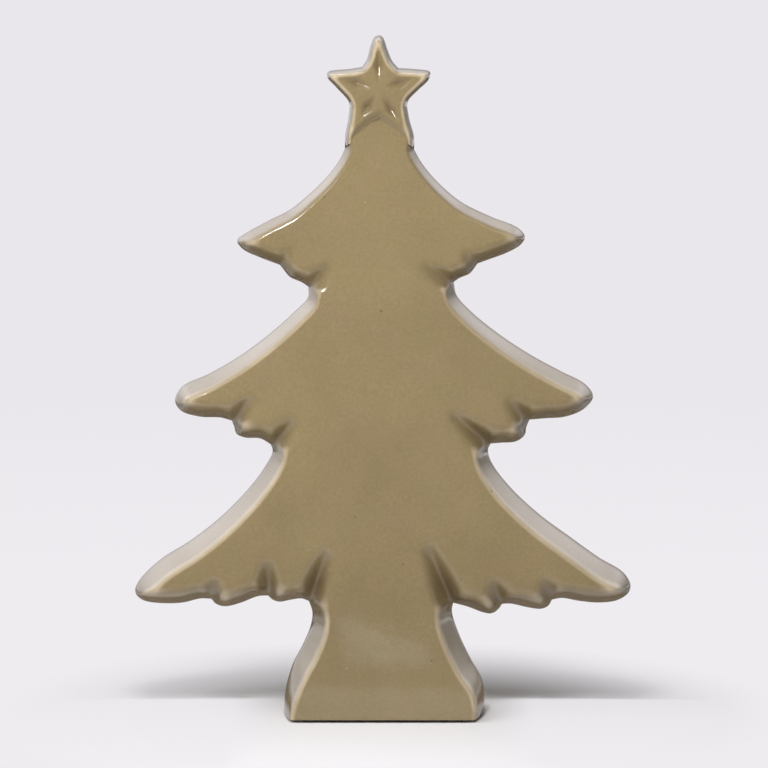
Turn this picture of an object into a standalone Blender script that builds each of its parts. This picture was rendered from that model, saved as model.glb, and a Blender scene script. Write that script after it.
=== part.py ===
"""Ceramic christmas tree, a free-standing mantel ornament with a star on top.

Two hollow half shells of fired clay are joined along a mid-depth seam by a line of slip. A star
sits astride the peak of the neck on a tenon, a slab with a vent hole closes the foot, and four
felt pads keep the glazed foot off the table.

Metres, +Z up, +X to the right and -Y towards the viewer. The origin is on the table, under the
middle of the tree.
"""
import math

import bmesh
import bpy
import numpy as np
from mathutils import Vector
from mathutils.geometry import delaunay_2d_cdt

# Whole tree
HEIGHT = 0.25
WIDTH = 0.1824

# Clay body
WALL = 0.0045               # thickness of the hollow shells
FIT_GAP = 0.0003            # clearance between neighbouring pieces
SEAM_WIDTH = 0.0008         # line of slip between the two shells, front to back
DRAFT = math.radians(14.5)  # taper of the flanks, from the seam to the front and back faces
EDGE_ROUND = 0.0034         # round between a flank and a face
HOLLOW_ROUND = 0.002        # the same round inside the hollow
HALF_DEPTH_FOOT = 0.0228    # seam to front face, at table level
HALF_DEPTH_NECK = 0.009     # seam to front face, at the top of the neck
FACE_BOW = 1.5              # how the depth falls with height: 1 is a straight wedge
ROOF_DROP = 0.006           # top of the neck to the hollow's outline, which is a wall further in

# Foot
PAD_THICKNESS = 0.0008
PAD_DIAMETER = 0.0085
PAD_INSET = 0.0014          # pad edge to the edge of the foot
BASE_THICKNESS = 0.005
VENT_DIAMETER = 0.012

# Star
STAR_DRAFT = math.radians(8)
STAR_PROUD = 0.0013         # star's faces in front of the neck's
STAR_ROUND = 0.0013
RECESS_DEPTH = 0.0011       # sunk inner star, below the raised rim
RECESS_SLOPE = 0.8          # depth gained for each unit in from the recess's edge
RECESS_WAIST = 0.0058       # middle of the sunk star to its inner corners
TENON_WIDTH = 0.006
TENON_HALF_DEPTH = 0.005
TENON_REACH = 0.0107        # top of the tenon above the neck's peak

# The outlines at the seam, as on the mould maker's drawing. A point is a share of the tree's width,
# to the right of its middle, and a share of its height above the table. These points are shared.
FOOT_LEFT = (-0.1996, 0.0000)
FOOT_RIGHT = (0.1990, 0.0000)
NECK_LEFT = (-0.0762, 0.8344)
NECK_RIGHT = (0.0625, 0.8332)
NECK_PEAK = (-0.0060, 0.8792)
STAR_TOP = (-0.0060, 1.0000)

# Each side of the tree, read upwards, is a chain of smooth runs from notch to notch. A run gives its
# points up to its notch, then the end of the crease that carries the notch on up the faces, as a
# fold between the branches, or None. A side starts below the table, so it runs straight through
# the foot.
LEFT_SIDE = [
    # Trunk
    ([(-0.2001, -0.0480), FOOT_LEFT, (-0.1974, 0.0336), (-0.1826, 0.0736),
      (-0.1606, 0.1056), (-0.1458, 0.1320), (-0.1425, 0.1512), (-0.1497, 0.1684)],
     (-0.1113, 0.2500)),
    # Lower branches: inner lobe, middle lobe, then the tip and its long upper edge
    ([(-0.1645, 0.1720), (-0.1870, 0.1700), (-0.2089, 0.1672), (-0.2231, 0.1704),
      (-0.2319, 0.1764)],
     (-0.2292, 0.2340)),
    ([(-0.2511, 0.1756), (-0.2873, 0.1656), (-0.3185, 0.1604), (-0.3377, 0.1644),
      (-0.3465, 0.1716)],
     (-0.3333, 0.2076)),
    ([(-0.3679, 0.1720), (-0.4041, 0.1660), (-0.4485, 0.1652), (-0.4825, 0.1692),
      (-0.4978, 0.1776), (-0.5000, 0.1860), (-0.4890, 0.2016), (-0.4485, 0.2300),
      (-0.3882, 0.2580), (-0.3273, 0.2928), (-0.2670, 0.3380), (-0.2352, 0.3700),
      (-0.2220, 0.3904), (-0.2259, 0.4000)],
     (-0.1743, 0.4400)),
    # Middle branches: lobe, then the tip
    ([(-0.2473, 0.4088), (-0.2774, 0.4100), (-0.2955, 0.4160), (-0.2988, 0.4248),
      (-0.3043, 0.4352)],
     (-0.2588, 0.4736)),
    ([(-0.3279, 0.4396), (-0.3679, 0.4408), (-0.4062, 0.4496), (-0.4183, 0.4640),
      (-0.4052, 0.4844), (-0.3481, 0.5048), (-0.2873, 0.5308), (-0.2275, 0.5632),
      (-0.1760, 0.5968), (-0.1508, 0.6164), (-0.1497, 0.6320)],
     (-0.1053, 0.6660)),
    # Upper branches: lobe, then the tip and the sweep up to the neck
    ([(-0.1628, 0.6384), (-0.1870, 0.6464), (-0.1974, 0.6552), (-0.2067, 0.6640)],
     None),
    ([(-0.2473, 0.6752), (-0.2812, 0.6872), (-0.2928, 0.7000), (-0.2774, 0.7096),
      (-0.2270, 0.7300), (-0.1870, 0.7448), (-0.1464, 0.7688), (-0.1091, 0.7960),
      (-0.0861, 0.8192), NECK_LEFT],
     None),
]
RIGHT_SIDE = [
    # Trunk
    ([(0.1990, -0.0480), FOOT_RIGHT, (0.2050, 0.0204), (0.2007, 0.0512),
      (0.1771, 0.0828), (0.1524, 0.1212), (0.1393, 0.1528), (0.1420, 0.1656)],
     (0.0894, 0.2580)),
    # Lower branches
    ([(0.1689, 0.1604), (0.2034, 0.1512), (0.2198, 0.1500), (0.2330, 0.1560),
      (0.2407, 0.1640)],
     (0.2204, 0.2060)),
    ([(0.2577, 0.1644), (0.2961, 0.1584), (0.3202, 0.1568), (0.3344, 0.1616),
      (0.3416, 0.1704)],
     (0.3224, 0.2088)),
    ([(0.3607, 0.1728), (0.3969, 0.1684), (0.4370, 0.1660), (0.4731, 0.1696),
      (0.4956, 0.1804), (0.5000, 0.1920), (0.4852, 0.2104), (0.4370, 0.2320),
      (0.3766, 0.2636), (0.3163, 0.2960), (0.2560, 0.3372), (0.2187, 0.3736),
      (0.2116, 0.3920), (0.2171, 0.4012)],
     (0.1404, 0.4484)),
    # Middle branches
    ([(0.2379, 0.4024), (0.2681, 0.4044), (0.2862, 0.4144), (0.2884, 0.4244),
      (0.2950, 0.4364)],
     (0.2511, 0.4704)),
    ([(0.3262, 0.4384), (0.3668, 0.4408), (0.4046, 0.4524), (0.4232, 0.4708),
      (0.4068, 0.4888), (0.3564, 0.5084), (0.2961, 0.5324), (0.2357, 0.5612),
      (0.1754, 0.5968), (0.1475, 0.6204), (0.1425, 0.6392)],
     (0.0800, 0.6652)),
    # Upper branches
    ([(0.1552, 0.6452), (0.1732, 0.6508), (0.1826, 0.6584), (0.1897, 0.6660)],
     None),
    ([(0.2155, 0.6728), (0.2516, 0.6828), (0.2769, 0.6940), (0.2851, 0.7052),
      (0.2719, 0.7180), (0.2155, 0.7352), (0.1552, 0.7572), (0.1053, 0.7888),
      (0.0751, 0.8164), NECK_RIGHT],
     None),
]

# The star, from the tips of its legs up to its top. The legs run down both sides of the neck,
# and the fork between them sits astride the neck's peak.
STAR_LEFT = [
    ([NECK_LEFT, (-0.0751, 0.8560), (-0.0696, 0.8764), (-0.0663, 0.8968)], None),
    ([(-0.0696, 0.9044), (-0.0916, 0.9224), (-0.1113, 0.9388), (-0.1102, 0.9460),
      (-0.0652, 0.9508), (-0.0417, 0.9536)], None),
    ([(-0.0323, 0.9644), (-0.0247, 0.9844), (-0.0164, 0.9972), STAR_TOP], None),
]
STAR_RIGHT = [
    ([NECK_RIGHT, (0.0620, 0.8528), (0.0532, 0.8764), (0.0482, 0.8968)], None),
    ([(0.0515, 0.9052), (0.0707, 0.9200), (0.0916, 0.9352), (0.0943, 0.9464),
      (0.0647, 0.9504), (0.0307, 0.9520)], None),
    ([(0.0186, 0.9624), (0.0093, 0.9784), (0.0005, 0.9960), STAR_TOP], None),
]
FORK = [NECK_LEFT, (-0.0630, 0.8456), (-0.0444, 0.8604), (-0.0236, 0.8740), NECK_PEAK,
        (0.0236, 0.8632), (0.0406, 0.8500), NECK_RIGHT]
RECESS_TIPS = [(-0.0077, 0.9808), (-0.0833, 0.9380), (-0.0450, 0.8800), (0.0329, 0.8728),
               (0.0614, 0.9372)]

# Fineness of the facets
CURVE_STEPS = 12            # points read from a smooth curve, for each span between given points
OUTLINE_TOLERANCE = 0.00012
HOLLOW_TOLERANCE = 0.0003
STEP_LIMIT = 45             # longest facet along the outline, in tolerances
CREASE_STEP = 0.0028
CREASE_LEAST = 1.03         # least length of a crease, as a multiple of what it climbs
GUIDE_JUMP = 0.012          # two points further apart aren't neighbours on a guide line
FAN_STEP = math.radians(24)
FACE_GRID = 0.016
LID_STEP = 0.0016
RING_SLACK = 0.00015
RIDGE_TURN = 0.2            # sine of the least turn at which two flanks meet in a ridge
SPACING = 0.0005
STAR_SPACING = 0.0002
SNAP = 1e-6                 # front and back points closer than this are one point
STEP_PARTS = 6              # a step of a line is looked at in this many places
HALVINGS = 30               # how often a crossing is narrowed down
ROUND_FACETS = 3
ROUND_LIMIT = 0.6           # a round takes at most this share of the depth behind it
PAD_SIDES = 20
VENT_SIDES = 24
SHARP_EDGE = math.radians(35)
CUTTER_MARGIN = 0.006       # how far a cutter reaches past what it cuts
FAR_AWAY = 1.0              # outside the whole object

# What follows from the sizes above
NECK_HEIGHT = (NECK_LEFT[1] + NECK_RIGHT[1]) / 2 * HEIGHT
HOLLOW_HEIGHT = NECK_HEIGHT - ROOF_DROP
STAR_HALF_DEPTH = HALF_DEPTH_NECK + STAR_PROUD
TENON_TOP = NECK_PEAK[1] * HEIGHT + TENON_REACH
FOOT_Z = PAD_THICKNESS + FIT_GAP
SEAM_HALF = SEAM_WIDTH / 2
SHELL_BACK = SEAM_HALF + FIT_GAP


for old in list(bpy.data.objects):
    bpy.data.objects.remove(old, do_unlink=True)


def half_depth(z):
    """Seam to face at a height: deep at the foot and thin at the neck."""
    share = np.maximum(z / NECK_HEIGHT, 0) ** FACE_BOW
    return HALF_DEPTH_FOOT - (HALF_DEPTH_FOOT - HALF_DEPTH_NECK) * share


def star_half_depth(z):
    """The star's two faces are parallel."""
    return STAR_HALF_DEPTH + 0 * z


def full_distance(depth, draft, edge_round):
    """Distance from the outline at which a drafted flank has turned into the face."""
    return (edge_round + (depth - edge_round) * math.sin(draft)) / math.cos(draft)


def placed(point):
    """A point of the drawing, in metres."""
    return point[0] * WIDTH, point[1] * HEIGHT


def chain(side):
    """The runs of a side, each with the notch it starts from."""
    runs, start = [], []
    for points, _ in side:
        runs.append(start + [placed(p) for p in points])
        start = [runs[-1][-1]]
    return runs


def creases(side):
    """The creases of a side: the notch, the end on the face and the distance they stand for."""
    found = []
    for points, end in side:
        if end is not None:
            notch, end = Vector(placed(points[-1])), Vector(placed(end))
            climb = full_distance(half_depth(end.y), DRAFT, EDGE_ROUND)
            found.append((notch, end, climb))
    return found


def down(runs):
    """Runs that go up, turned to go down."""
    return [run[::-1] for run in runs[::-1]]


def smooth_run(points, tolerance):
    """Points and directions along a smooth curve through one run, only as many as it needs."""
    pts = [Vector(p) for p in points]
    pts = [2 * pts[0] - pts[1]] + pts + [2 * pts[-1] - pts[-2]]
    fine = []
    for a, b, c, d in zip(pts, pts[1:], pts[2:], pts[3:]):
        t1 = math.sqrt((b - a).length)
        t2 = t1 + math.sqrt((c - b).length)
        t3 = t2 + math.sqrt((d - c).length)
        for i in range(CURVE_STEPS):
            t = t1 + (t2 - t1) * i / CURVE_STEPS
            ab = a.lerp(b, t / t1)
            bc = b.lerp(c, (t - t1) / (t2 - t1))
            cd = c.lerp(d, (t - t2) / (t3 - t2))
            abc = ab.lerp(bc, t / t2)
            bcd = bc.lerp(cd, (t - t1) / (t3 - t1))
            fine.append(abc.lerp(bcd, (t - t1) / (t2 - t1)))
    fine.append(pts[-2])
    last = len(fine) - 1
    return [(fine[i], (fine[min(i + 1, last)] - fine[max(i - 1, 0)]).normalized())
            for i in thin(fine, 0, last, tolerance)]


def thin(points, first, last, tolerance):
    """Indices of the points that keep a curve within the tolerance, none too far apart."""
    chord = points[last] - points[first]
    away = [abs(chord.cross(p - points[first])) / chord.length for p in points[first:last + 1]]
    if max(away) <= tolerance and chord.length <= tolerance * STEP_LIMIT or last - first < 2:
        return [first, last]
    at = first + away.index(max(away)) if max(away) > tolerance else (first + last) // 2
    return thin(points, first, at, tolerance)[:-1] + thin(points, at, last, tolerance)


def resample(points, step):
    """A polyline with a point at least every step."""
    out = [Vector(points[0])]
    for a, b in zip(points, points[1:]):
        a, b = Vector(a), Vector(b)
        count = max(1, math.ceil((b - a).length / step))
        out += [a.lerp(b, (i + 1) / count) for i in range(count)]
    return out


def fan(start, end, turn):
    """Directions from one to another, turning left (1) or right (-1)."""
    first = math.atan2(start.y, start.x)
    sweep = (turn * (math.atan2(end.y, end.x) - first)) % (2 * math.pi)
    count = max(1, math.ceil(sweep / FAN_STEP))
    angles = [first + turn * sweep * i / count for i in range(count + 1)]
    return [Vector((math.cos(a), math.sin(a))) for a in angles]


class Drafted:
    """How deep a body that tapers from its outline is, at any point inside that outline.

    The depth grows with the distance to the nearest edge, at the draft angle, until a round
    leads over into the face. A crease is an edge that starts at the seam and climbs to the face.
    """

    def __init__(self, runs, draft, edge_round, face, tolerance, inset=0.0, creases=()):
        self.draft, self.edge_round, self.face, self.inset = draft, edge_round, face, inset
        self.skin = inset / math.cos(draft)
        self.sources = []
        self.floors = []
        segments = []
        before = None
        for run in runs:
            samples = smooth_run(run, tolerance)
            points = [p for p, _ in samples]
            normals = [Vector((t.y, -t.x)) for _, t in samples]
            if before is not None:
                self.add_corner(points[0], before, normals[0], creases, segments)
            self.sources += [(p, n, 0.0) for p, n in zip(points, normals)]
            segments += [(a, b, 0.0) for a, b in zip(points, points[1:])]
            before = normals[-1]
        self.start = np.array([a[:] for a, _, _ in segments])
        self.along = np.array([(b - a)[:] for a, b, _ in segments])
        self.length = np.linalg.norm(self.along, axis=1)
        self.along /= self.length[:, None]
        self.rise = np.array([r for _, _, r in segments])

    def add_corner(self, corner, before, after, creases, segments):
        """A notch between two runs, with its crease if one starts there."""
        turn = 1 if before.cross(after) > 0 else -1
        here = [(end, climb) for notch, end, climb in creases
                if (notch - corner).length < RING_SLACK
                and (end - notch).length > climb * CREASE_LEAST]
        if not here:
            self.sources += [(corner, d, 0.0) for d in fan(before, after, turn)]
            return
        crease, climb = here[0]
        length = (crease - corner).length
        rise = climb / length
        tilt = math.sqrt(1 - rise * rise)
        ahead = (crease - corner).normalized()
        aside = Vector((ahead.y, -ahead.x)) * turn * tilt
        near_side, far_side = ahead * rise + aside, ahead * rise - aside
        count = max(1, round(length / CREASE_STEP))
        stations = [length * i / count for i in range(count + 1)]
        segments.append((corner, crease, rise))
        self.floors.append([corner + ahead * s for s in stations])
        self.sources += [(corner, d, 0.0) for d in fan(before, near_side, turn)]
        self.sources += [(corner + ahead * s, near_side, rise * s) for s in stations]
        self.sources += [(crease, d, climb) for d in fan(near_side, far_side, turn)]
        self.sources += [(corner + ahead * s, far_side, rise * s) for s in stations[::-1]]
        self.sources += [(corner, d, 0.0) for d in fan(far_side, after, turn)]

    def levels(self, z):
        """Distances from the outline to the edge and to each step of the round, up to its end."""
        depth = self.face(z) - self.inset
        bend = min(self.edge_round, depth * ROUND_LIMIT)
        full = self.skin + full_distance(depth, self.draft, bend)
        sweep = math.pi / 2 - self.draft
        angles = [self.draft + sweep * i / ROUND_FACETS for i in range(ROUND_FACETS + 1)]
        return [self.skin] + [full - bend * math.cos(a) for a in angles]

    def distance(self, points):
        """Distance inside the outline, counted on a crease from the height of its floor."""
        p = np.array([q[:] for q in points]).reshape(-1, 2)
        best = np.full(len(p), np.inf)
        for start, along, length, rise in zip(self.start, self.along, self.length, self.rise):
            rel = p - start
            run = rel @ along
            off = np.abs(rel[:, 0] * along[1] - rel[:, 1] * along[0])
            foot = np.clip(run - off * rise / math.sqrt(1 - rise * rise), 0, length)
            best = np.minimum(best, np.hypot(run - foot, off) + rise * foot)
        return best

    def depth(self, points):
        """Depth of the body in front of the seam at each point."""
        z = np.array([q[1] for q in points])
        d = np.maximum(self.distance(points) - self.skin, 0)
        face = self.face(z) - self.inset
        bend = np.minimum(self.edge_round, face * ROUND_LIMIT)
        full = full_distance(face, self.draft, bend)
        arc = face - bend + np.sqrt(np.maximum(bend ** 2 - (d - full) ** 2, 0))
        flank = d / math.tan(self.draft)
        return np.where(d < full - bend * math.cos(self.draft), flank, np.where(d < full, arc, face))

    def ring(self, index):
        """Points along the line where the distance reaches one of the levels."""
        points, goals, ways = [], [], []
        for point, direction, base in self.sources:
            goal = self.levels(point.y)[index]
            if goal >= base:
                points.append(point + direction * (goal - base))
                goals.append(goal)
                ways.append(direction)
        reached = self.distance(points) >= np.array(goals) - RING_SLACK
        kept = [int(i) for i in np.flatnonzero(reached)]
        line = []
        for i, j in zip(kept, kept[1:] + [None]):
            line.append(points[i])
            if j is not None and j > i + 1:
                line += corner_between(points[i], ways[i], points[j], ways[j])
        return line


def corner_between(p, p_way, q, q_way):
    """Where two stretches of a ring meet on the ridge of a branch tip, if they do."""
    turn = p_way.cross(q_way)
    if abs(turn) < RIDGE_TURN:
        return []
    p_side, q_side = p_way.dot(p), q_way.dot(q)
    corner = Vector((p_side * q_way.y - q_side * p_way.y,
                     q_side * p_way.x - p_side * q_way.x)) / turn
    reach = (p - q).length
    return [corner] if max((corner - p).length, (corner - q).length) < reach else []


class Net:
    """Points in the XZ plane, and the edges that its triangles have to follow."""

    def __init__(self, spacing):
        self.spacing = spacing
        self.points = []
        self.edges = []
        self.loop = []

    def place(self, p):
        """The index of a point, or of the one that is already about there."""
        for i, q in enumerate(self.points):
            if (p - q).length_squared < self.spacing ** 2:
                return i
        self.points.append(p)
        return len(self.points) - 1

    def close_loop(self, *stretches):
        """Make the outline, from stretches that follow one another."""
        for p in [p for stretch in stretches for p in stretch]:
            i = self.place(p)
            if i not in self.loop:
                self.loop.append(i)
        self.edges += list(zip(self.loop, self.loop[1:] + self.loop[:1]))
        self.outline = np.array([self.points[i][:] for i in self.loop])

    def encloses(self, p):
        return encloses(self.outline, p)

    def guide(self, line, inside):
        """Add a line inside the outline. It breaks where it leaves it, or jumps too far."""
        last = None
        for p in line:
            i = self.place(p) if inside(p) and self.encloses(p) else None
            if None not in (i, last) and i != last and not {i, last} <= set(self.loop):
                if (self.points[i] - self.points[last]).length < GUIDE_JUMP:
                    self.edges.append((last, i))
            last = i


def cut_at_height(points, z):
    """The part of an upward run below a height, ending exactly at it."""
    out = []
    for a, b in zip(points, points[1:]):
        out.append(a)
        if a[1] < z <= b[1]:
            share = (z - a[1]) / (b[1] - a[1])
            return out + [(a[0] + (b[0] - a[0]) * share, z)]
    return out + [points[-1]]


def clip_loop(points, inside):
    """The stretches of a line that lie inside, each ending exactly on the boundary."""
    line = []
    for a, b in zip(points, points[1:]):
        line.append(a)
        if not inside(a) and not inside(b):
            between = [a.lerp(b, i / STEP_PARTS) for i in range(1, STEP_PARTS)]
            line += [p for p in between if inside(p)][:1]
    line.append(points[-1])
    stretches, current = [], []
    for a, b in zip(line, line[1:] + [None]):
        if inside(a):
            current.append(a)
        if b is None or inside(a) == inside(b):
            continue
        low, high = (a, b) if inside(a) else (b, a)
        for _ in range(HALVINGS):
            middle = (low + high) / 2
            low, high = (middle, high) if inside(middle) else (low, middle)
        current.append(low)
        if inside(a):
            stretches.append(current)
            current = []
    return stretches + ([current] if current else [])


def linked(name, bm):
    """The object made from a finished mesh."""
    mesh = bpy.data.meshes.new(name)
    bm.to_mesh(mesh)
    bm.free()
    thing = bpy.data.objects.new(name, mesh)
    bpy.context.collection.objects.link(thing)
    return thing


def closed_solid(name, net, front, back=None):
    """A closed mesh over a net: its front faces -Y, and its back is flat or mirrors the front."""
    verts, _, faces, _, _, _ = delaunay_2d_cdt(net.points, net.edges, [net.loop], 1, SNAP / 10)
    depths = front(verts)
    levels = depths if back is None else np.full(len(verts), -back)
    joined = np.abs(depths + levels) < SNAP
    faces = [f for f in faces if not all(joined[i] for i in f)]
    sides = [(a, b) for f in faces for a, b in zip(f, f[1:] + f[:1])]
    rim = [e for e in sides if e[::-1] not in set(sides)]
    bm = bmesh.new()
    used = {i for f in faces for i in f}
    ahead = {i: bm.verts.new((verts[i].x, -depths[i], verts[i].y)) for i in used}
    behind = {}
    for i in used if back is None else {i for e in rim for i in e}:
        place = (verts[i].x, levels[i], verts[i].y)
        behind[i] = ahead[i] if joined[i] else bm.verts.new(place)
    for face in faces:
        bm.faces.new([ahead[i] for i in face])
        if back is None:
            bm.faces.new([behind[i] for i in face[::-1]])
    for a, b in rim:
        corners = [ahead[a], ahead[b], behind[b], behind[a]]
        corners = [v for i, v in enumerate(corners) if v is not corners[i - 1]]
        if len(set(corners)) > 2:
            bm.faces.new(corners)
    if back is not None:
        bmesh.ops.holes_fill(bm, edges=[e for e in bm.edges if e.is_boundary], sides=0)
    bmesh.ops.recalc_face_normals(bm, faces=bm.faces)
    return linked(name, bm)


def body_net(field, floor, roof, spacing, detail=True):
    """The net of a body between its floor and a roof line."""
    roof_x = [p[0] for p in roof]
    roof_z = [p[1] for p in roof]

    def inside(p):
        return floor < p.y < np.interp(p.x, roof_x, roof_z)

    stretches = clip_loop(field.ring(0), inside)
    first, last = stretches[0], stretches[-1]
    first[0].y = last[-1].y = floor
    lid = []
    if last is not first:
        lid = [p for p in resample(roof, LID_STEP) if first[-1].x < p.x < last[0].x] + last
    left, right = first[0].x, last[-1].x
    edge = [d - field.skin for d in field.levels(floor)[1:]]
    edge = [d for d in edge if d < (right - left) / 2]
    across = [left + d for d in edge] + [right - d for d in edge]
    across += list(np.arange(left + edge[-1] + FACE_GRID, right - edge[-1] - spacing, FACE_GRID))
    net = Net(spacing)
    net.close_loop(first, lid, [Vector((x, floor)) for x in sorted(across, reverse=True)])
    if not detail:
        return net
    for line in field.floors + [field.ring(i) for i in range(1, ROUND_FACETS + 2)]:
        net.guide(line, inside)
    columns = np.arange(min(net.outline[:, 0]), max(net.outline[:, 0]), FACE_GRID)
    rows = np.arange(floor + FACE_GRID / 2, max(net.outline[:, 1]), FACE_GRID)
    lattice = [Vector((x, z)) for x in columns for z in rows]
    full = [field.levels(p.y)[-1] + FACE_GRID / 4 for p in lattice]
    for p, d, f in zip(lattice, field.distance(lattice), full):
        if d > f and inside(p) and net.encloses(p):
            net.place(p)
    return net


def encloses(outline, p):
    """Whether a point lies inside a closed outline."""
    x1, z1 = outline[:, 0], outline[:, 1]
    x2, z2 = np.roll(x1, -1), np.roll(z1, -1)
    across = (z1 > p.y) != (z2 > p.y)
    at = x1 + (p.y - z1) / np.where(across, z2 - z1, 1.0) * (x2 - x1)
    return bool(np.count_nonzero(across & (p.x < at)) % 2)


def offset_line(points, gap):
    """A line moved sideways to its right by a gap."""
    pts = [Vector(p) for p in points]
    out = []
    for i, p in enumerate(pts):
        t = (pts[min(i + 1, len(pts) - 1)] - pts[max(i - 1, 0)]).normalized()
        out.append((p.x + t.y * gap, p.y - t.x * gap))
    return out


def material(name, color, roughness, metallic=0.0):
    """A plain finish for a piece."""
    made = bpy.data.materials.new(name)
    made.use_nodes = True
    shader = made.node_tree.nodes["Principled BSDF"]
    shader.inputs["Base Color"].default_value = (*color, 1)
    shader.inputs["Roughness"].default_value = roughness
    shader.inputs["Metallic"].default_value = metallic
    made.diffuse_color = (*color, 1)
    return made


def box(name, low, high):
    """A block between two corners."""
    bm = bmesh.new()
    bmesh.ops.create_cube(bm, size=1)
    for v in bm.verts:
        v.co = [lo + (c + 0.5) * (hi - lo) for c, lo, hi in zip(v.co, low, high)]
    return linked(name, bm)


def disc(name, x, y, low, high, diameter, sides):
    """An upright round block."""
    bm = bmesh.new()
    bmesh.ops.create_cone(bm, cap_ends=True, segments=sides, radius1=diameter / 2,
                          radius2=diameter / 2, depth=high - low)
    bmesh.ops.translate(bm, verts=bm.verts, vec=(x, y, (low + high) / 2))
    return linked(name, bm)


def cut(body, tool, operation="DIFFERENCE"):
    """A boolean on a body, with its tool hidden."""
    tool.hide_render = True
    tool.display_type = "WIRE"
    change = body.modifiers.new(tool.name, "BOOLEAN")
    change.operation = operation
    change.solver = "EXACT"
    change.object = tool


def finish(thing, look):
    """Smooth shading with crisp edges, and the piece's material."""
    thing.data.materials.append(look)
    thing.data.shade_smooth()
    thing.data.set_sharp_from_angle(angle=SHARP_EDGE)
    return thing


# Materials
glaze = material("sand_glaze", (0.38, 0.30, 0.17), 0.18)
slip = material("joining_slip", (0.42, 0.35, 0.23), 0.4)
bare_clay = material("bare_clay", (0.62, 0.52, 0.40), 0.85)
felt = material("felt", (0.12, 0.12, 0.11), 0.95)

# The tree's outline runs up the left side, over a cap hidden in the star and down the right side
left_runs, right_runs = chain(LEFT_SIDE), chain(RIGHT_SIDE)
left_leg, right_leg = chain(STAR_LEFT)[0], chain(STAR_RIGHT)[0]
cap_left = (left_leg[-1][0], left_leg[-1][1] + CUTTER_MARGIN)
cap_right = (right_leg[-1][0], right_leg[-1][1] + CUTTER_MARGIN)
over_neck = [left_leg, [left_leg[-1], cap_left], [cap_left, cap_right],
             [cap_right, right_leg[-1]], right_leg[::-1]]
folds = creases(LEFT_SIDE) + creases(RIGHT_SIDE)
tree = Drafted(left_runs + over_neck + down(right_runs), DRAFT, EDGE_ROUND, half_depth,
               OUTLINE_TOLERANCE, creases=folds)
fork = [placed(p) for p in FORK]
neck_peak = offset_line(fork, FIT_GAP)
tree_net = body_net(tree, FOOT_Z, neck_peak, SPACING)
seam_net = body_net(tree, FOOT_Z, neck_peak, SPACING, detail=False)

# The hollow follows the same outline a wall further in, and is closed below the neck
hollow_left = left_runs[:-1] + [cut_at_height(left_runs[-1], HOLLOW_HEIGHT)]
hollow_right = right_runs[:-1] + [cut_at_height(right_runs[-1], HOLLOW_HEIGHT)]
hollow_cap = [hollow_left[-1][-1], hollow_right[-1][-1]]
hollow_runs = hollow_left + [hollow_cap] + down(hollow_right)
open_sky = [(-FAR_AWAY, FAR_AWAY), (FAR_AWAY, FAR_AWAY)]
hollow = Drafted(hollow_runs, DRAFT, HOLLOW_ROUND, half_depth, HOLLOW_TOLERANCE,
                 inset=WALL, creases=folds)
hollow_net = body_net(hollow, FOOT_Z - CUTTER_MARGIN, open_sky, SPACING * 2)


def tree_depth(points):
    return np.maximum(tree.depth(points), SHELL_BACK)


def hollow_depth(points):
    depth = hollow.depth(points)
    return np.where(depth < SEAM_WIDTH, 0, depth)


core = closed_solid("hollow_core", hollow_net, hollow_depth)

# The sunk star's outline, whose middle the tenon stands in
recess_tips = [Vector(placed(p)) for p in RECESS_TIPS]
recess_middle = sum(recess_tips, Vector((0, 0))) / len(recess_tips)
tenon_left = recess_middle.x - TENON_WIDTH / 2
tenon_right = recess_middle.x + TENON_WIDTH / 2

# Front and back shells, with half a tenon each
for name, side in (("front_shell", 1), ("back_shell", -1)):
    shell = closed_solid(name, tree_net, tree_depth, back=SHELL_BACK)
    low_y, high_y = -TENON_HALF_DEPTH, -SHELL_BACK
    if side < 0:
        shell.data.transform(((1, 0, 0, 0), (0, -1, 0, 0), (0, 0, 1, 0), (0, 0, 0, 1)))
        shell.data.flip_normals()
        low_y, high_y = SHELL_BACK, TENON_HALF_DEPTH
    tenon = box(name + "_tenon", (tenon_left, low_y, NECK_HEIGHT),
                (tenon_right, high_y, TENON_TOP))
    cut(shell, tenon, "UNION")
    cut(shell, core)
    finish(shell, glaze)

# Line of slip between the shells
seam = closed_solid("slip_seam", seam_net, lambda p: np.full(len(p), SEAM_HALF), -SEAM_HALF)
seam_tenon = box("slip_seam_tenon", (tenon_left, -SEAM_HALF, NECK_HEIGHT),
                 (tenon_right, SEAM_HALF, TENON_TOP))
cut(seam, seam_tenon, "UNION")
cut(seam, core)
finish(seam, slip)

# Star, solid, with a raised rim round a sunk star on both faces and a socket for the tenon
star_runs = chain(STAR_LEFT) + down(chain(STAR_RIGHT))
star = Drafted(star_runs, STAR_DRAFT, STAR_ROUND, star_half_depth, OUTLINE_TOLERANCE)
recess_line = []
for tip, after in zip(recess_tips, recess_tips[1:] + recess_tips[:1]):
    between = ((tip + after) / 2 - recess_middle).normalized()
    recess_line += [tip, recess_middle + between * RECESS_WAIST]
recess_edges = list(zip(recess_line, recess_line[1:] + recess_line[:1]))
recess_outline = np.array([p[:] for p in recess_line])


def recess(points):
    """How far the face is sunk: nothing outside the inner star, then a slope down to its floor."""
    sunk = []
    for p in points:
        inward = 0.0
        if encloses(recess_outline, p):
            feet = [a + (b - a) * min(max((p - a).dot(b - a) / (b - a).length_squared, 0), 1)
                    for a, b in recess_edges]
            inward = min((p - foot).length for foot in feet)
        sunk.append(min(RECESS_DEPTH, inward * RECESS_SLOPE))
    return np.array(sunk)


def star_depth(points):
    depth = star.depth(points) - recess(points)
    return np.where(depth < SEAM_WIDTH, 0, depth)


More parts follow.
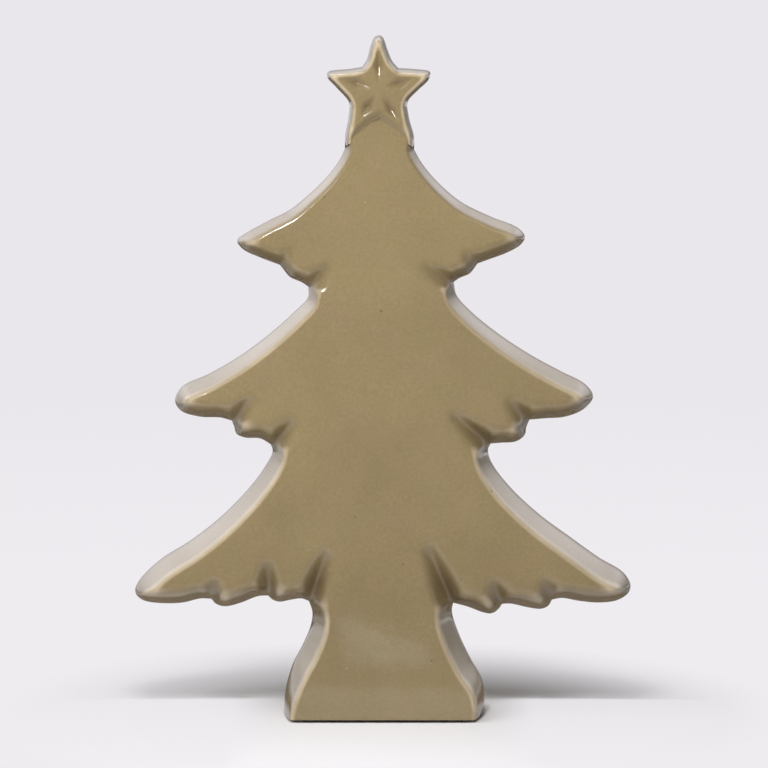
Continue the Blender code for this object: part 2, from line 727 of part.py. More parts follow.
star_net = Net(STAR_SPACING)
star_net.close_loop(star.ring(0), resample(fork[::-1], LID_STEP))
star_net.guide(resample(recess_line + recess_line[:1], LID_STEP), star_net.encloses)
floor_inset = RECESS_DEPTH / RECESS_SLOPE
floor_line = []
for tip, waist in zip(recess_line[::2], recess_line[1::2]):
    star_net.guide(resample([tip, recess_middle], LID_STEP), star_net.encloses)
    half_angle = (recess_middle - tip).angle(waist - tip)
    along_arm = floor_inset / math.sin(half_angle) / (recess_middle - tip).length
    floor_line += [tip.lerp(recess_middle, along_arm),
                   waist.lerp(recess_middle, floor_inset / RECESS_WAIST)]
star_net.guide(resample(floor_line + floor_line[:1], LID_STEP), star_net.encloses)
for index in range(1, ROUND_FACETS + 2):
    star_net.guide(star.ring(index), star_net.encloses)
topper = closed_solid("star_topper", star_net, star_depth)
socket = box("star_socket",
             (tenon_left - FIT_GAP, -TENON_HALF_DEPTH - FIT_GAP, NECK_HEIGHT - CUTTER_MARGIN),
             (tenon_right + FIT_GAP, TENON_HALF_DEPTH + FIT_GAP, TENON_TOP + FIT_GAP))
cut(topper, socket)
finish(topper, glaze)

# Slab that closes the foot, flush with its rim, with a vent hole
slab = Drafted(hollow_runs, DRAFT, HOLLOW_ROUND, half_depth, HOLLOW_TOLERANCE,
               inset=WALL + FIT_GAP)
slab_top = [(-FAR_AWAY, FOOT_Z + BASE_THICKNESS), (FAR_AWAY, FOOT_Z + BASE_THICKNESS)]
slab_net = body_net(slab, FOOT_Z, slab_top, SPACING)


def slab_depth(points):
    depth = slab.depth(points)
    return np.where(depth < SEAM_WIDTH, 0, depth)


base = closed_solid("base_plate", slab_net, slab_depth)
vent = disc("vent_hole", 0, 0, FOOT_Z - CUTTER_MARGIN, FOOT_Z + BASE_THICKNESS + CUTTER_MARGIN,
            VENT_DIAMETER, VENT_SIDES)
cut(base, vent)
finish(base, bare_clay)

# Felt pads under the corners of the foot
foot_depth = half_depth(FOOT_Z)
pad_y = foot_depth - PAD_INSET - PAD_DIAMETER / 2
pad_in = (pad_y + PAD_DIAMETER / 2) * math.tan(DRAFT) + PAD_INSET + PAD_DIAMETER / 2
for side_name, corner in (("left", FOOT_LEFT), ("right", FOOT_RIGHT)):
    foot_x = placed(corner)[0]
    pad_x = foot_x - math.copysign(pad_in, foot_x)
    for face_name, y in (("front", -pad_y), ("back", pad_y)):
        finish(disc(f"felt_pad_{face_name}_{side_name}", pad_x, y, 0, PAD_THICKNESS,
                    PAD_DIAMETER, PAD_SIDES), felt)
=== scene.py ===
import math

import bpy
import bmesh
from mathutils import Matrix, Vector


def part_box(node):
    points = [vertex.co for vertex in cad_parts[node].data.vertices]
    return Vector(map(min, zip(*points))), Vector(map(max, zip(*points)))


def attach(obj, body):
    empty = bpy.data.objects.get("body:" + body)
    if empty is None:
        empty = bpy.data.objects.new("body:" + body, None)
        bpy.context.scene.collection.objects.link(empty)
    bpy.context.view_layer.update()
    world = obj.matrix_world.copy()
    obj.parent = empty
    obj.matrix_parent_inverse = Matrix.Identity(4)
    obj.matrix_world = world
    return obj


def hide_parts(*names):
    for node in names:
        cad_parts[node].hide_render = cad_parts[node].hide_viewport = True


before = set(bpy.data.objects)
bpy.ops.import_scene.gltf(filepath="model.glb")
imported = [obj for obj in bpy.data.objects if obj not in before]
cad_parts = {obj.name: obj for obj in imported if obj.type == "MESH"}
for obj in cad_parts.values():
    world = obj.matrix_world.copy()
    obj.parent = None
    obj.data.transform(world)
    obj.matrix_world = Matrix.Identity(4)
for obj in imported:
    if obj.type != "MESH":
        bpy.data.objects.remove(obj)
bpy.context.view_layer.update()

# Camera. The tree is seen square on from the front, from a little above its foot, through a long
# lens far enough away that its sides hardly converge.
FRAME_WIDTH = 0.2819        # width of the picture at the tree
CAMERA_DISTANCE = 1.8
CAMERA_RISE = math.radians(5)
AIM = Vector((0.0004, 0, 0.1222))
camera = bpy.data.objects.new("camera", bpy.data.cameras.new("camera"))
bpy.context.collection.objects.link(camera)
bpy.context.scene.camera = camera
toward_camera = Vector((0, -math.cos(CAMERA_RISE), math.sin(CAMERA_RISE)))
camera.location = AIM + toward_camera * CAMERA_DISTANCE
camera.rotation_euler = (-toward_camera).to_track_quat("-Z", "Y").to_euler()
camera.data.lens = camera.data.sensor_width * CAMERA_DISTANCE / FRAME_WIDTH
camera.data.clip_start = 0.1
camera.data.clip_end = 20

# Floor and backdrop. Pale paper lies under the tree and goes on as far as the eye reaches. A short
# way from the tree it turns into a plain colour, and in front of the tree most of the shadow is
# cleared. Only the glaze sees painted shade on the paper straight behind the tree, and a painted dark
# reflection in front of it.
PAPER_COLOR = (0.80, 0.79, 0.81)
PAPER_SEEN = (0.90, 0.885, 0.905)   # the camera sees the paper brighter than it lights the tree
PAPER_REACH = 8.0
PAPER_SIDES = 48
PAPER_BEYOND = (0.86, 0.84, 0.87)   # the plain colour, a little brighter just past the tree
BACKDROP_COLOR = (0.82, 0.80, 0.835)
BRIGHTER = (0.3, 1.3)               # distances between which that turns into the backdrop's colour
FADE = (0.06, 0.20)                 # distances between which the paper turns into the plain colour
FADE_IN_GLAZE = (0.45, 0.90)
FADE_NARROWED = 1.25                # distances to the sides count for this much more
CLEARED_SHARE = 0.8
CLEARED_DEPTH = (0.041, 0.034)      # the shadow is cleared in front of here
CLEARED_ASIDE = (0.036, 0.056)      # and this far from the middle, so that the foot keeps its own
PAINTED_DARK_FROM = -0.14                   # in the glaze, the paper in front of here is painted dark, a painted reflection of a dark room
PAINTED_DARK_EDGE = 0.02
PAINTED_DARK_REFLECTION = (0.05, 0.045, 0.04)
PAINTED_SHADE_IN_GLAZE = (0.20, 0.160, 0.125)
SHADE_START = (0.02, 0.05)          # the painted shade that the glaze mirrors starts behind the tree
SHADE_WIDENS = (0.4, 0.7)           # between these depths, it grows
SHADE_HALF_WIDTH = (0.14, 0.5)      # from this half width to that
SHADE_EDGE = 0.03


def add_node(tree, kind, *values, **settings):
    """A new node, with its settings and its first inputs, each a value or another node's output."""
    node = tree.nodes.new(kind)
    for name, value in settings.items():
        setattr(node, name, value)
    for socket, value in zip(node.inputs, values):
        if isinstance(value, bpy.types.NodeSocket):
            tree.links.new(value, socket)
        elif value is not None:
            socket.default_value = value
    return node


def calc(tree, operation, *values):
    """The result of a sum on numbers."""
    return add_node(tree, "ShaderNodeMath", *values, operation=operation).outputs[0]


def vector_calc(tree, operation, *values):
    """The vector that a sum on vectors gives."""
    return add_node(tree, "ShaderNodeVectorMath", *values, operation=operation).outputs["Vector"]


def vector_number(tree, operation, *values):
    """The number that a sum on vectors gives."""
    return add_node(tree, "ShaderNodeVectorMath", *values, operation=operation).outputs["Value"]


def coordinates(tree, place):
    """The x, y and z of a place or a direction."""
    return add_node(tree, "ShaderNodeSeparateXYZ", place).outputs


def between(tree, value, low, high, start=0.0, end=1.0, soft=False):
    """A value carried over from one range to another, held at its ends, and eased there if soft."""
    return add_node(tree, "ShaderNodeMapRange", value, low, high, start, end,
                    interpolation_type="SMOOTHSTEP" if soft else "LINEAR").outputs[0]


def mixed(tree, mask, first, second):
    """Two numbers mixed by a mask."""
    return add_node(tree, "ShaderNodeMix", mask, None, first, second).outputs["Result"]


def blended(tree, mask, first, second):
    """Two colours blended by a mask."""
    node = add_node(tree, "ShaderNodeMix", mask, data_type="RGBA")
    for socket, value in zip(node.inputs[6:8], (first, second)):
        if isinstance(value, bpy.types.NodeSocket):
            tree.links.new(value, socket)
        else:
            socket.default_value = (*value, 1)
    return node.outputs[2]


def layered(tree, mask, below, above):
    """A shader that shows over another one where a mask lets it."""
    return add_node(tree, "ShaderNodeMixShader", mask, below.outputs[0], above.outputs[0])


def object_place(tree):
    """The place on the piece, in metres."""
    return add_node(tree, "ShaderNodeTexCoord").outputs["Object"]


def new_look(name):
    """A material, with its node tree and its shader."""
    look = bpy.data.materials.new(name)
    look.use_nodes = True
    return look, look.node_tree, look.node_tree.nodes["Principled BSDF"]


def add_object(name, mesh):
    """An object in the scene for a mesh."""
    thing = bpy.data.objects.new(name, mesh)
    bpy.context.collection.objects.link(thing)
    return thing


def seen_directly(tree):
    """Whether the camera sees a place itself, or in a mirror or through glass."""
    rays = add_node(tree, "ShaderNodeLightPath").outputs
    seen = rays["Is Camera Ray"]
    for other in (rays["Is Glossy Ray"], rays["Is Transmission Ray"]):
        seen = calc(tree, "MAXIMUM", seen, other)
    return seen


paper_mesh = bpy.data.meshes.new("paper")
turns = [math.tau * i / PAPER_SIDES for i in range(PAPER_SIDES)]
rim_points = [(PAPER_REACH * math.cos(turn), PAPER_REACH * math.sin(turn), 0) for turn in turns]
paper_mesh.from_pydata(rim_points, [], [list(range(PAPER_SIDES))])
paper = add_object("paper", paper_mesh)
paper_look, nodes, lit_paper = new_look("paper")
lit_paper.inputs["Base Color"].default_value = (*PAPER_COLOR, 1)
lit_paper.inputs["Roughness"].default_value = 0.9
lit_paper.inputs["Specular IOR Level"].default_value = 0.0
seen_paper = add_node(nodes, "ShaderNodeBsdfDiffuse", (*PAPER_SEEN, 1))
rays = add_node(nodes, "ShaderNodeLightPath").outputs
by_camera, by_glaze = rays["Is Camera Ray"], rays["Is Glossy Ray"]
place = object_place(nodes)
behind = coordinates(nodes, place)["Y"]
aside = calc(nodes, "ABSOLUTE", coordinates(nodes, place)["X"])
away = vector_number(nodes, "LENGTH", vector_calc(nodes, "MULTIPLY", place, (FADE_NARROWED, 1, 1)))
plain = blended(nodes, between(nodes, away, *BRIGHTER), PAPER_BEYOND, BACKDROP_COLOR)
plain_paper = add_node(nodes, "ShaderNodeEmission", plain, 1.0)
cleared = calc(nodes, "MULTIPLY", between(nodes, behind, *CLEARED_DEPTH, 0, CLEARED_SHARE),
               between(nodes, aside, *CLEARED_ASIDE))
fade = calc(nodes, "MAXIMUM", between(nodes, away, *FADE, soft=True), cleared)
fade = mixed(nodes, by_glaze, fade, between(nodes, away, *FADE_IN_GLAZE, soft=True))
fade = calc(nodes, "MULTIPLY", fade, seen_directly(nodes))
surface = layered(nodes, by_camera, lit_paper, seen_paper)
surface = layered(nodes, fade, surface, plain_paper)
# Painted dark reflection: in front of the tree, the glaze sees the paper dark
painted_dark_mask = between(nodes, behind, PAINTED_DARK_FROM, PAINTED_DARK_FROM - PAINTED_DARK_EDGE)
painted_dark_reflection = add_node(nodes, "ShaderNodeEmission", (*PAINTED_DARK_REFLECTION, 1), 1.0)
surface = layered(nodes, calc(nodes, "MULTIPLY", painted_dark_mask, by_glaze), surface, painted_dark_reflection)
# Painted shade on the paper, seen only by the glaze, straight behind the tree
half_width = between(nodes, behind, *SHADE_WIDENS, *SHADE_HALF_WIDTH)
painted_shade_mask = between(nodes, calc(nodes, "SUBTRACT", half_width, aside), -SHADE_EDGE, SHADE_EDGE)
painted_shade_mask = calc(nodes, "MULTIPLY", painted_shade_mask, between(nodes, behind, *SHADE_START))
painted_shade = add_node(nodes, "ShaderNodeEmission", (*PAINTED_SHADE_IN_GLAZE, 1), 1.0)
surface = layered(nodes, calc(nodes, "MULTIPLY", painted_shade_mask, by_glaze), surface, painted_shade)
nodes.links.new(surface.outputs[0], nodes.nodes["Material Output"].inputs["Surface"])
paper_mesh.materials.append(paper_look)

# Light. A lamp above in front throws the tree's shadow back over the paper, a big soft one hangs on
# the left, a long low one reaches the trunk, and one behind lights the tree's back, not the paper.
# Two more show only in the glaze. The room fills in a little, and is mirrored bright at the back.
ROOM_STRENGTH = 0.17
MIRRORED_FRONT = 0.15               # brightness of the room behind the camera, as the glaze mirrors it
MIRRORED_STRAIGHT = (0.95, 0.28)    # the same straight behind the tree, on the left and on the right
MIRRORED_WINDOWS = (2.5, 2.0)       # and at the windows beside and above that
STRAIGHT_SPAN = (-0.3, 0.3)         # directions' x between which the left turns into the right
WINDOW_SPAN = (-0.5, 0.5)
WINDOW_ASIDE = (0.1, 0.4)           # how far to either side, and how high, the windows start
WINDOW_HIGH = (0.2, 0.6)
WINDOW_SILL = (0.1, 0.4)
BELOW_SILL = 0.1                    # share of the windows' light that is left below the sill
BACK_OF_ROOM = (-0.1, 0.6)          # directions' y between which the front turns into the back
LAMP_AIM = Vector((0, 0, 0.1))
LAMPS = [
    # name, place, width, height, watts, in the glaze only
    ("key", (-0.04, -0.50, 0.43), 0.12, 0.12, 2.9, False),
    ("side", (-0.50, -0.40, 0.60), 0.50, 0.50, 2.8, False),
    ("low", (0.00, -0.50, 0.03), 0.60, 0.04, 0.23, False),
    ("glint", (-0.39, -1.21, 0.90), 0.10, 0.10, 10.0, True),
    ("high glint", (-0.03, 0.30, 1.30), 0.40, 0.10, 3.0, True),
    ("rear", (0.30, 0.90, 0.50), 0.60, 0.60, 9.0, False),
]
for name, place, wide, tall, watts, mirrored in LAMPS:
    lamp = bpy.data.lights.new(name, "AREA")
    lamp.shape = "RECTANGLE"
    lamp.size = wide
    lamp.size_y = tall
    lamp.energy = watts
    lamp_object = bpy.data.objects.new(name, lamp)
    lamp_object.location = place
    lamp_object.visible_diffuse = not mirrored
    lamp_object.visible_glossy = mirrored
    lamp_object.visible_camera = False
    aim = LAMP_AIM - lamp_object.location
    lamp_object.rotation_euler = aim.to_track_quat("-Z", "Y").to_euler()
    bpy.context.collection.objects.link(lamp_object)
rear_lit = bpy.data.collections.new("lit from the rear")    # the tree's pieces join it at the end
bpy.data.objects["rear"].light_linking.receiver_collection = rear_lit
room = bpy.data.worlds.new("room")
room.use_nodes = True
nodes = room.node_tree
filling = nodes.nodes["Background"]
filling.inputs["Color"].default_value = (1, 1, 1, 1)
filling.inputs["Strength"].default_value = ROOM_STRENGTH
way = coordinates(nodes, add_node(nodes, "ShaderNodeTexCoord").outputs["Generated"])
straight = between(nodes, way["X"], *STRAIGHT_SPAN, *MIRRORED_STRAIGHT)
windows = between(nodes, way["X"], *WINDOW_SPAN, *MIRRORED_WINDOWS)
in_window = calc(nodes, "MAXIMUM", between(nodes, calc(nodes, "ABSOLUTE", way["X"]), *WINDOW_ASIDE),
                 between(nodes, way["Z"], *WINDOW_HIGH))
in_window = calc(nodes, "MULTIPLY", in_window, between(nodes, way["Z"], *WINDOW_SILL, BELOW_SILL, 1))
back_of_room = between(nodes, in_window, 0, 1, straight, windows)
mirrored = between(nodes, between(nodes, way["Y"], *BACK_OF_ROOM), 0, 1, MIRRORED_FRONT, back_of_room)
by_glaze = add_node(nodes, "ShaderNodeLightPath").outputs["Is Glossy Ray"]
backdrop = add_node(nodes, "ShaderNodeBackground", (*BACKDROP_COLOR, 1),
                    mixed(nodes, by_glaze, 1.0, mirrored))
surface = layered(nodes, seen_directly(nodes), filling, backdrop)
nodes.links.new(surface.outputs[0], nodes.nodes["World Output"].inputs["Surface"])
bpy.context.scene.world = room

# A small bright card in front, which only the glaze mirrors, low on the trunk
CARD_PLACE = -0.273
CARD_CORNERS = [(-0.0185, 0.0265), (0.0045, 0.0155), (0.0195, 0.0145), (0.0200, 0.0025),
                (-0.0155, 0.0040)]
CARD_STRENGTH = 1.3
card_mesh = bpy.data.meshes.new("card")
card_mesh.from_pydata([(x, CARD_PLACE, z) for x, z in CARD_CORNERS], [],
                      [list(range(len(CARD_CORNERS)))])
card = add_object("card", card_mesh)
card_look, nodes, _ = new_look("card")
card_light = add_node(nodes, "ShaderNodeEmission", (1, 1, 1, 1), CARD_STRENGTH)
nodes.links.new(card_light.outputs[0], nodes.nodes["Material Output"].inputs["Surface"])
card_mesh.materials.append(card_look)
card.visible_camera = False
card.visible_diffuse = False
card.visible_shadow = False
card.visible_transmission = False
bpy.context.scene.view_settings.view_transform = "Standard"

# Tree. Two half shells pressed in moulds, joined along a seam at mid depth, sponged smooth and
# glazed all over. The flanks taper from the seam to the faces, as the moulds' draft needs, and
# each notch between two lobes carries on up the faces as a fold.
HEIGHT = 0.25
WIDTH = 0.1824
DRAFT = math.radians(17.5)
FLANK_BOW = 0.066           # share of the depth by which sponging rounds the flank at the seam
EDGE_ROUND = 0.0011         # depth over which the flank rolls over into the face
LOWER_ROUND = 0.0100        # the same on edges that face down, which are sponged softer
FOLD_ROUND = 0.0010         # the bottom of a fold is rounded
FOLD_REACH = 0.6            # a fold climbs to this share of the face, then ends in a round arch
FLARE_HEIGHT = 0.028        # below this, the flanks turn steeper, so that the faces widen
FLARE = 1.2                 # how much steeper they are at the foot
FLARE_POWER = 3.5           # how suddenly they turn
HALF_DEPTH_FOOT = 0.0228
HALF_DEPTH_NECK = 0.009
FACE_BOW = 1.5              # the faces lean back in a curve with this power
FOOT_Z = 0.0011             # the pads lift the foot this far
TREE_CELL = 0.00068
TREE_RIM = 0.0008
RIM_RINGS = (0.45, 0.33, 0.0)   # each ring's distance from the seam, as a share of the last one's
FOOT_BAND = 0.25            # cells above the foot within which a point counts as on it
RIM_BAND = 0.75             # cells past the rim within which a border point counts as by a flank
TOUCHING = 1e-6
ABOUT_NOTHING = 0.0001      # keeps a share finite on the flank line itself
MERGE_DISTANCE = 2e-6
TREE_SOFTENING = 1          # steps of sponging
LOWER_SOFTENING = 8
TREE_LEVEL_STEPS = 12       # steps that level the clay, to find what stands proud of its surroundings
FACING_DOWN = (0.0, 0.5)    # slopes between which an edge starts to count as one that faces down
FACING_DOWN_BLEND = 6
SPONGED_FROM = (2.0, 3.5)   # cells from the flank line between which sponging starts
PROUD_FROM = (2.0, 7.0)     # cells from the flank line between which glaze starts to run off edges
POOL_AND_SHADE_NEARER = (0.3, 0.7)     # glaze pools, and shade is painted, where a fold is this share of the flank line's distance away
POOL_AND_SHADE_DEPTH = (0.05, 0.5)    # and where the clay lies this share of its depth below the face
SUNK_POOL_AND_SHADE = 0.55            # pooled glaze and painted shade on the sunk shape's floor, next to that in a fold
POOL_AND_SHADE_BLEND = 2
CURVE_STEPS = 8
# Points are shares of the width, to the right of the middle, and of the height above the table.
FOOT_LEFT = (-0.1996, 0.0000)
FOOT_RIGHT = (0.1990, 0.0000)
NECK_LEFT = (-0.0762, 0.8344)
NECK_RIGHT = (0.0625, 0.8332)
NECK_PEAK = (-0.0060, 0.8792)
STAR_TOP = (-0.0060, 1.0000)
# Each side, read upwards, is a chain of runs from notch to notch, with the end of the notch's fold.
LEFT_SIDE = [
    # Trunk
    ([(-0.2001, -0.0480), FOOT_LEFT, (-0.1974, 0.0336), (-0.1826, 0.0736),
      (-0.1606, 0.1056), (-0.1458, 0.1320), (-0.1425, 0.1512), (-0.1497, 0.1684)],
     (-0.1113, 0.2500)),
    # Lower branches: inner lobe, middle lobe, then the tip and its long upper edge
    ([(-0.1645, 0.1720), (-0.1870, 0.1700), (-0.2089, 0.1672), (-0.2231, 0.1704),
      (-0.2319, 0.1764)],
     (-0.2292, 0.2340)),
    ([(-0.2511, 0.1756), (-0.2873, 0.1656), (-0.3185, 0.1604), (-0.3377, 0.1644),
      (-0.3465, 0.1716)],
     (-0.3333, 0.2076)),
    ([(-0.3679, 0.1720), (-0.4041, 0.1660), (-0.4485, 0.1652), (-0.4825, 0.1692),
      (-0.4978, 0.1776), (-0.5000, 0.1860), (-0.4890, 0.2016), (-0.4485, 0.2300),
      (-0.3882, 0.2580), (-0.3273, 0.2928), (-0.2670, 0.3380), (-0.2352, 0.3700),
      (-0.2220, 0.3904), (-0.2259, 0.4000)],
     (-0.1743, 0.4400)),
    # Middle branches: lobe, then the tip
    ([(-0.2473, 0.4088), (-0.2774, 0.4100), (-0.2955, 0.4160), (-0.2988, 0.4248),
      (-0.3043, 0.4352)],
     (-0.2588, 0.4736)),
    ([(-0.3279, 0.4396), (-0.3679, 0.4408), (-0.4062, 0.4496), (-0.4183, 0.4640),
      (-0.4052, 0.4844), (-0.3481, 0.5048), (-0.2873, 0.5308), (-0.2275, 0.5632),
      (-0.1760, 0.5968), (-0.1508, 0.6164), (-0.1497, 0.6320)],
     (-0.1053, 0.6660)),
    # Upper branches: lobe, then the tip and the sweep up to the neck
    ([(-0.1628, 0.6384), (-0.1870, 0.6464), (-0.1974, 0.6552), (-0.2067, 0.6640)],
     (-0.1840, 0.6860)),
    ([(-0.2473, 0.6752), (-0.2812, 0.6872), (-0.2928, 0.7000), (-0.2774, 0.7096),
      (-0.2270, 0.7300), (-0.1870, 0.7448), (-0.1464, 0.7688), (-0.1091, 0.7960),
      (-0.0861, 0.8192), NECK_LEFT],
     None),
]
RIGHT_SIDE = [
    # Trunk
    ([(0.1990, -0.0480), FOOT_RIGHT, (0.2050, 0.0204), (0.2007, 0.0512),
      (0.1771, 0.0828), (0.1524, 0.1212), (0.1393, 0.1528), (0.1420, 0.1656)],
     (0.0894, 0.2580)),
    # Lower branches
    ([(0.1689, 0.1604), (0.2034, 0.1512), (0.2198, 0.1500), (0.2330, 0.1560),
      (0.2407, 0.1640)],
     (0.2204, 0.2060)),
    ([(0.2577, 0.1644), (0.2961, 0.1584), (0.3202, 0.1568), (0.3344, 0.1616),
      (0.3416, 0.1704)],
     (0.3224, 0.2088)),
    ([(0.3607, 0.1728), (0.3969, 0.1684), (0.4370, 0.1660), (0.4731, 0.1696),
      (0.4956, 0.1804), (0.5000, 0.1920), (0.4852, 0.2104), (0.4370, 0.2320),
      (0.3766, 0.2636), (0.3163, 0.2960), (0.2560, 0.3372), (0.2187, 0.3736),
      (0.2116, 0.3920), (0.2171, 0.4012)],
     (0.1404, 0.4484)),
    # Middle branches
    ([(0.2379, 0.4024), (0.2681, 0.4044), (0.2862, 0.4144), (0.2884, 0.4244),
      (0.2950, 0.4364)],
     (0.2511, 0.4704)),
    ([(0.3262, 0.4384), (0.3668, 0.4408), (0.4046, 0.4524), (0.4232, 0.4708),
      (0.4068, 0.4888), (0.3564, 0.5084), (0.2961, 0.5324), (0.2357, 0.5612),
      (0.1754, 0.5968), (0.1475, 0.6204), (0.1425, 0.6392)],
     (0.0800, 0.6652)),
    # Upper branches
    ([(0.1552, 0.6452), (0.1732, 0.6508), (0.1826, 0.6584), (0.1897, 0.6660)],
     (0.1620, 0.6830)),
    ([(0.2155, 0.6728), (0.2516, 0.6828), (0.2769, 0.6940), (0.2851, 0.7052),
      (0.2719, 0.7180), (0.2155, 0.7352), (0.1552, 0.7572), (0.1053, 0.7888),
      (0.0751, 0.8164), NECK_RIGHT],
     None),
]
STAR_LEFT = [
    ([NECK_LEFT, (-0.0751, 0.8560), (-0.0696, 0.8764), (-0.0663, 0.8968)], None),
    ([(-0.0696, 0.9044), (-0.0916, 0.9224), (-0.1113, 0.9388), (-0.1102, 0.9460),
      (-0.0652, 0.9508), (-0.0417, 0.9536)], None),
    ([(-0.0323, 0.9644), (-0.0247, 0.9844), (-0.0164, 0.9972), STAR_TOP], None),
]
STAR_RIGHT = [
    ([NECK_RIGHT, (0.0620, 0.8528), (0.0532, 0.8764), (0.0482, 0.8968)], None),
    ([(0.0515, 0.9052), (0.0707, 0.9200), (0.0916, 0.9352), (0.0943, 0.9464),
      (0.0647, 0.9504), (0.0307, 0.9520)], None),
    ([(0.0186, 0.9624), (0.0093, 0.9784), (0.0005, 0.9960), STAR_TOP], None),
]
FORK = [NECK_LEFT, (-0.0630, 0.8456), (-0.0444, 0.8604), (-0.0236, 0.8740), NECK_PEAK,
        (0.0236, 0.8632), (0.0406, 0.8500), NECK_RIGHT]
NECK_OVERLAP = 0.002        # the neck's peak is bedded this far in the star's fork
NECK_RISE = 0.006           # its outline goes on inside the star


def placed(point):
    """A point of the drawing, in metres, on the seam plane."""
    return Vector((point[0] * WIDTH, 0, point[1] * HEIGHT))


def smooth_run(points):
    """A smooth curve through the points of a run."""
    pts = [2 * points[0] - points[1]] + points + [2 * points[-1] - points[-2]]
    curve = []
    for a, b, c, d in zip(pts, pts[1:], pts[2:], pts[3:]):
        t1 = math.sqrt((b - a).length)
        t2 = t1 + math.sqrt((c - b).length)
        t3 = t2 + math.sqrt((d - c).length)
        for i in range(CURVE_STEPS):
            t = t1 + (t2 - t1) * i / CURVE_STEPS
            middle = (t - t1) / (t2 - t1)
            bc = b.lerp(c, middle)
            before = a.lerp(b, t / t1).lerp(bc, t / t2)
            after = bc.lerp(c.lerp(d, (t - t2) / (t3 - t2)), (t - t1) / (t3 - t1))
            curve.append(before.lerp(after, middle))
    return curve + [points[-1]]


def side_line(side):
    """The smooth line of one side, upwards through its notches."""
    line = []
    start = []
    for points, _ in side:
        run = start + [placed(p) for p in points]
        line += smooth_run(run)[1 if start else 0:]
        start = [run[-1]]
    return line


def moved_aside(line, gap):
    """A line moved to its right by a gap."""
    out = []
    for i, p in enumerate(line):
        way = (line[min(i + 1, len(line) - 1)] - line[max(i - 1, 0)]).normalized()
        out.append(p + Vector((way.z, 0, -way.x)) * gap)
    return out


def above(line, height):
    """The part of an upward line above a height, starting exactly at it."""
    for i, (a, b) in enumerate(zip(line, line[1:])):
        if a.z <= height < b.z:
            return [a.lerp(b, (height - a.z) / (b.z - a.z))] + line[i + 1:]
    return line


def drawing(name, points, closed):
    """A drawing as an object that isn't rendered: a closed outline with its face, or a line."""
    mesh = bpy.data.meshes.new(name)
    loop = list(range(len(points)))
    if closed:
        mesh.from_pydata(points, [], [loop])
    else:
        mesh.from_pydata(points, list(zip(loop, loop[1:])), [])
    thing = add_object(name, mesh)
    thing.hide_render = True
    return thing


def logic(tree, operation, *values):
    """The answer to a yes-or-no question on others."""
    return add_node(tree, "FunctionNodeBooleanMath", *values, operation=operation).outputs[0]


def diagonal(tree, *sides):
    """The length across sides that stand square to each other."""
    squares = [calc(tree, "MULTIPLY", side, side) for side in sides]
    total = squares[0]
    for square in squares[1:]:
        total = calc(tree, "ADD", total, square)
    return calc(tree, "SQRT", total)


def blurred(tree, value, steps, weight=1.0):
    """A value on the net, evened out with its neighbours in steps."""
    return add_node(tree, "GeometryNodeBlurAttribute", value, steps, weight,
                    data_type="FLOAT").outputs[0]


def kept_on(tree, net, name, value):
    """The net with a value kept on its points under a name."""
    return add_node(tree, "GeometryNodeStoreNamedAttribute", net, None, name, value,
                    data_type="FLOAT", domain="POINT").outputs[0]


def point_place(tree):
    """The place of each point of the net."""
    return add_node(tree, "GeometryNodeInputPosition").outputs[0]


def drawn(tree, given, name):
    """The geometry of a drawing that comes in as an object."""
    return add_node(tree, "GeometryNodeObjectInfo", given[name]).outputs["Geometry"]


def nearest(tree, shape):
    """The place on a drawing's lines that is nearest to each point, and its distance."""
    return add_node(tree, "GeometryNodeProximity", shape, target_element="EDGES").outputs


def within(tree, shape):
    """Whether each point lies inside a drawing's faces, as seen from the front."""
    ray = add_node(tree, "GeometryNodeRaycast")
    tree.links.new(shape, ray.inputs["Target Geometry"])
    tree.links.new(vector_calc(tree, "ADD", point_place(tree), (0, -1, 0)),
                   ray.inputs["Source Position"])
    ray.inputs["Ray Direction"].default_value = (0, 1, 0)
    ray.inputs["Ray Length"].default_value = 2
    return ray.outputs["Is Hit"]


def cells_between(tree, start, end, cell):
    """The number of cells that cross a stretch, with two to spare."""
    crossed = calc(tree, "DIVIDE", calc(tree, "SUBTRACT", end, start), cell)
    return calc(tree, "ADD", calc(tree, "CEIL", crossed), 2)


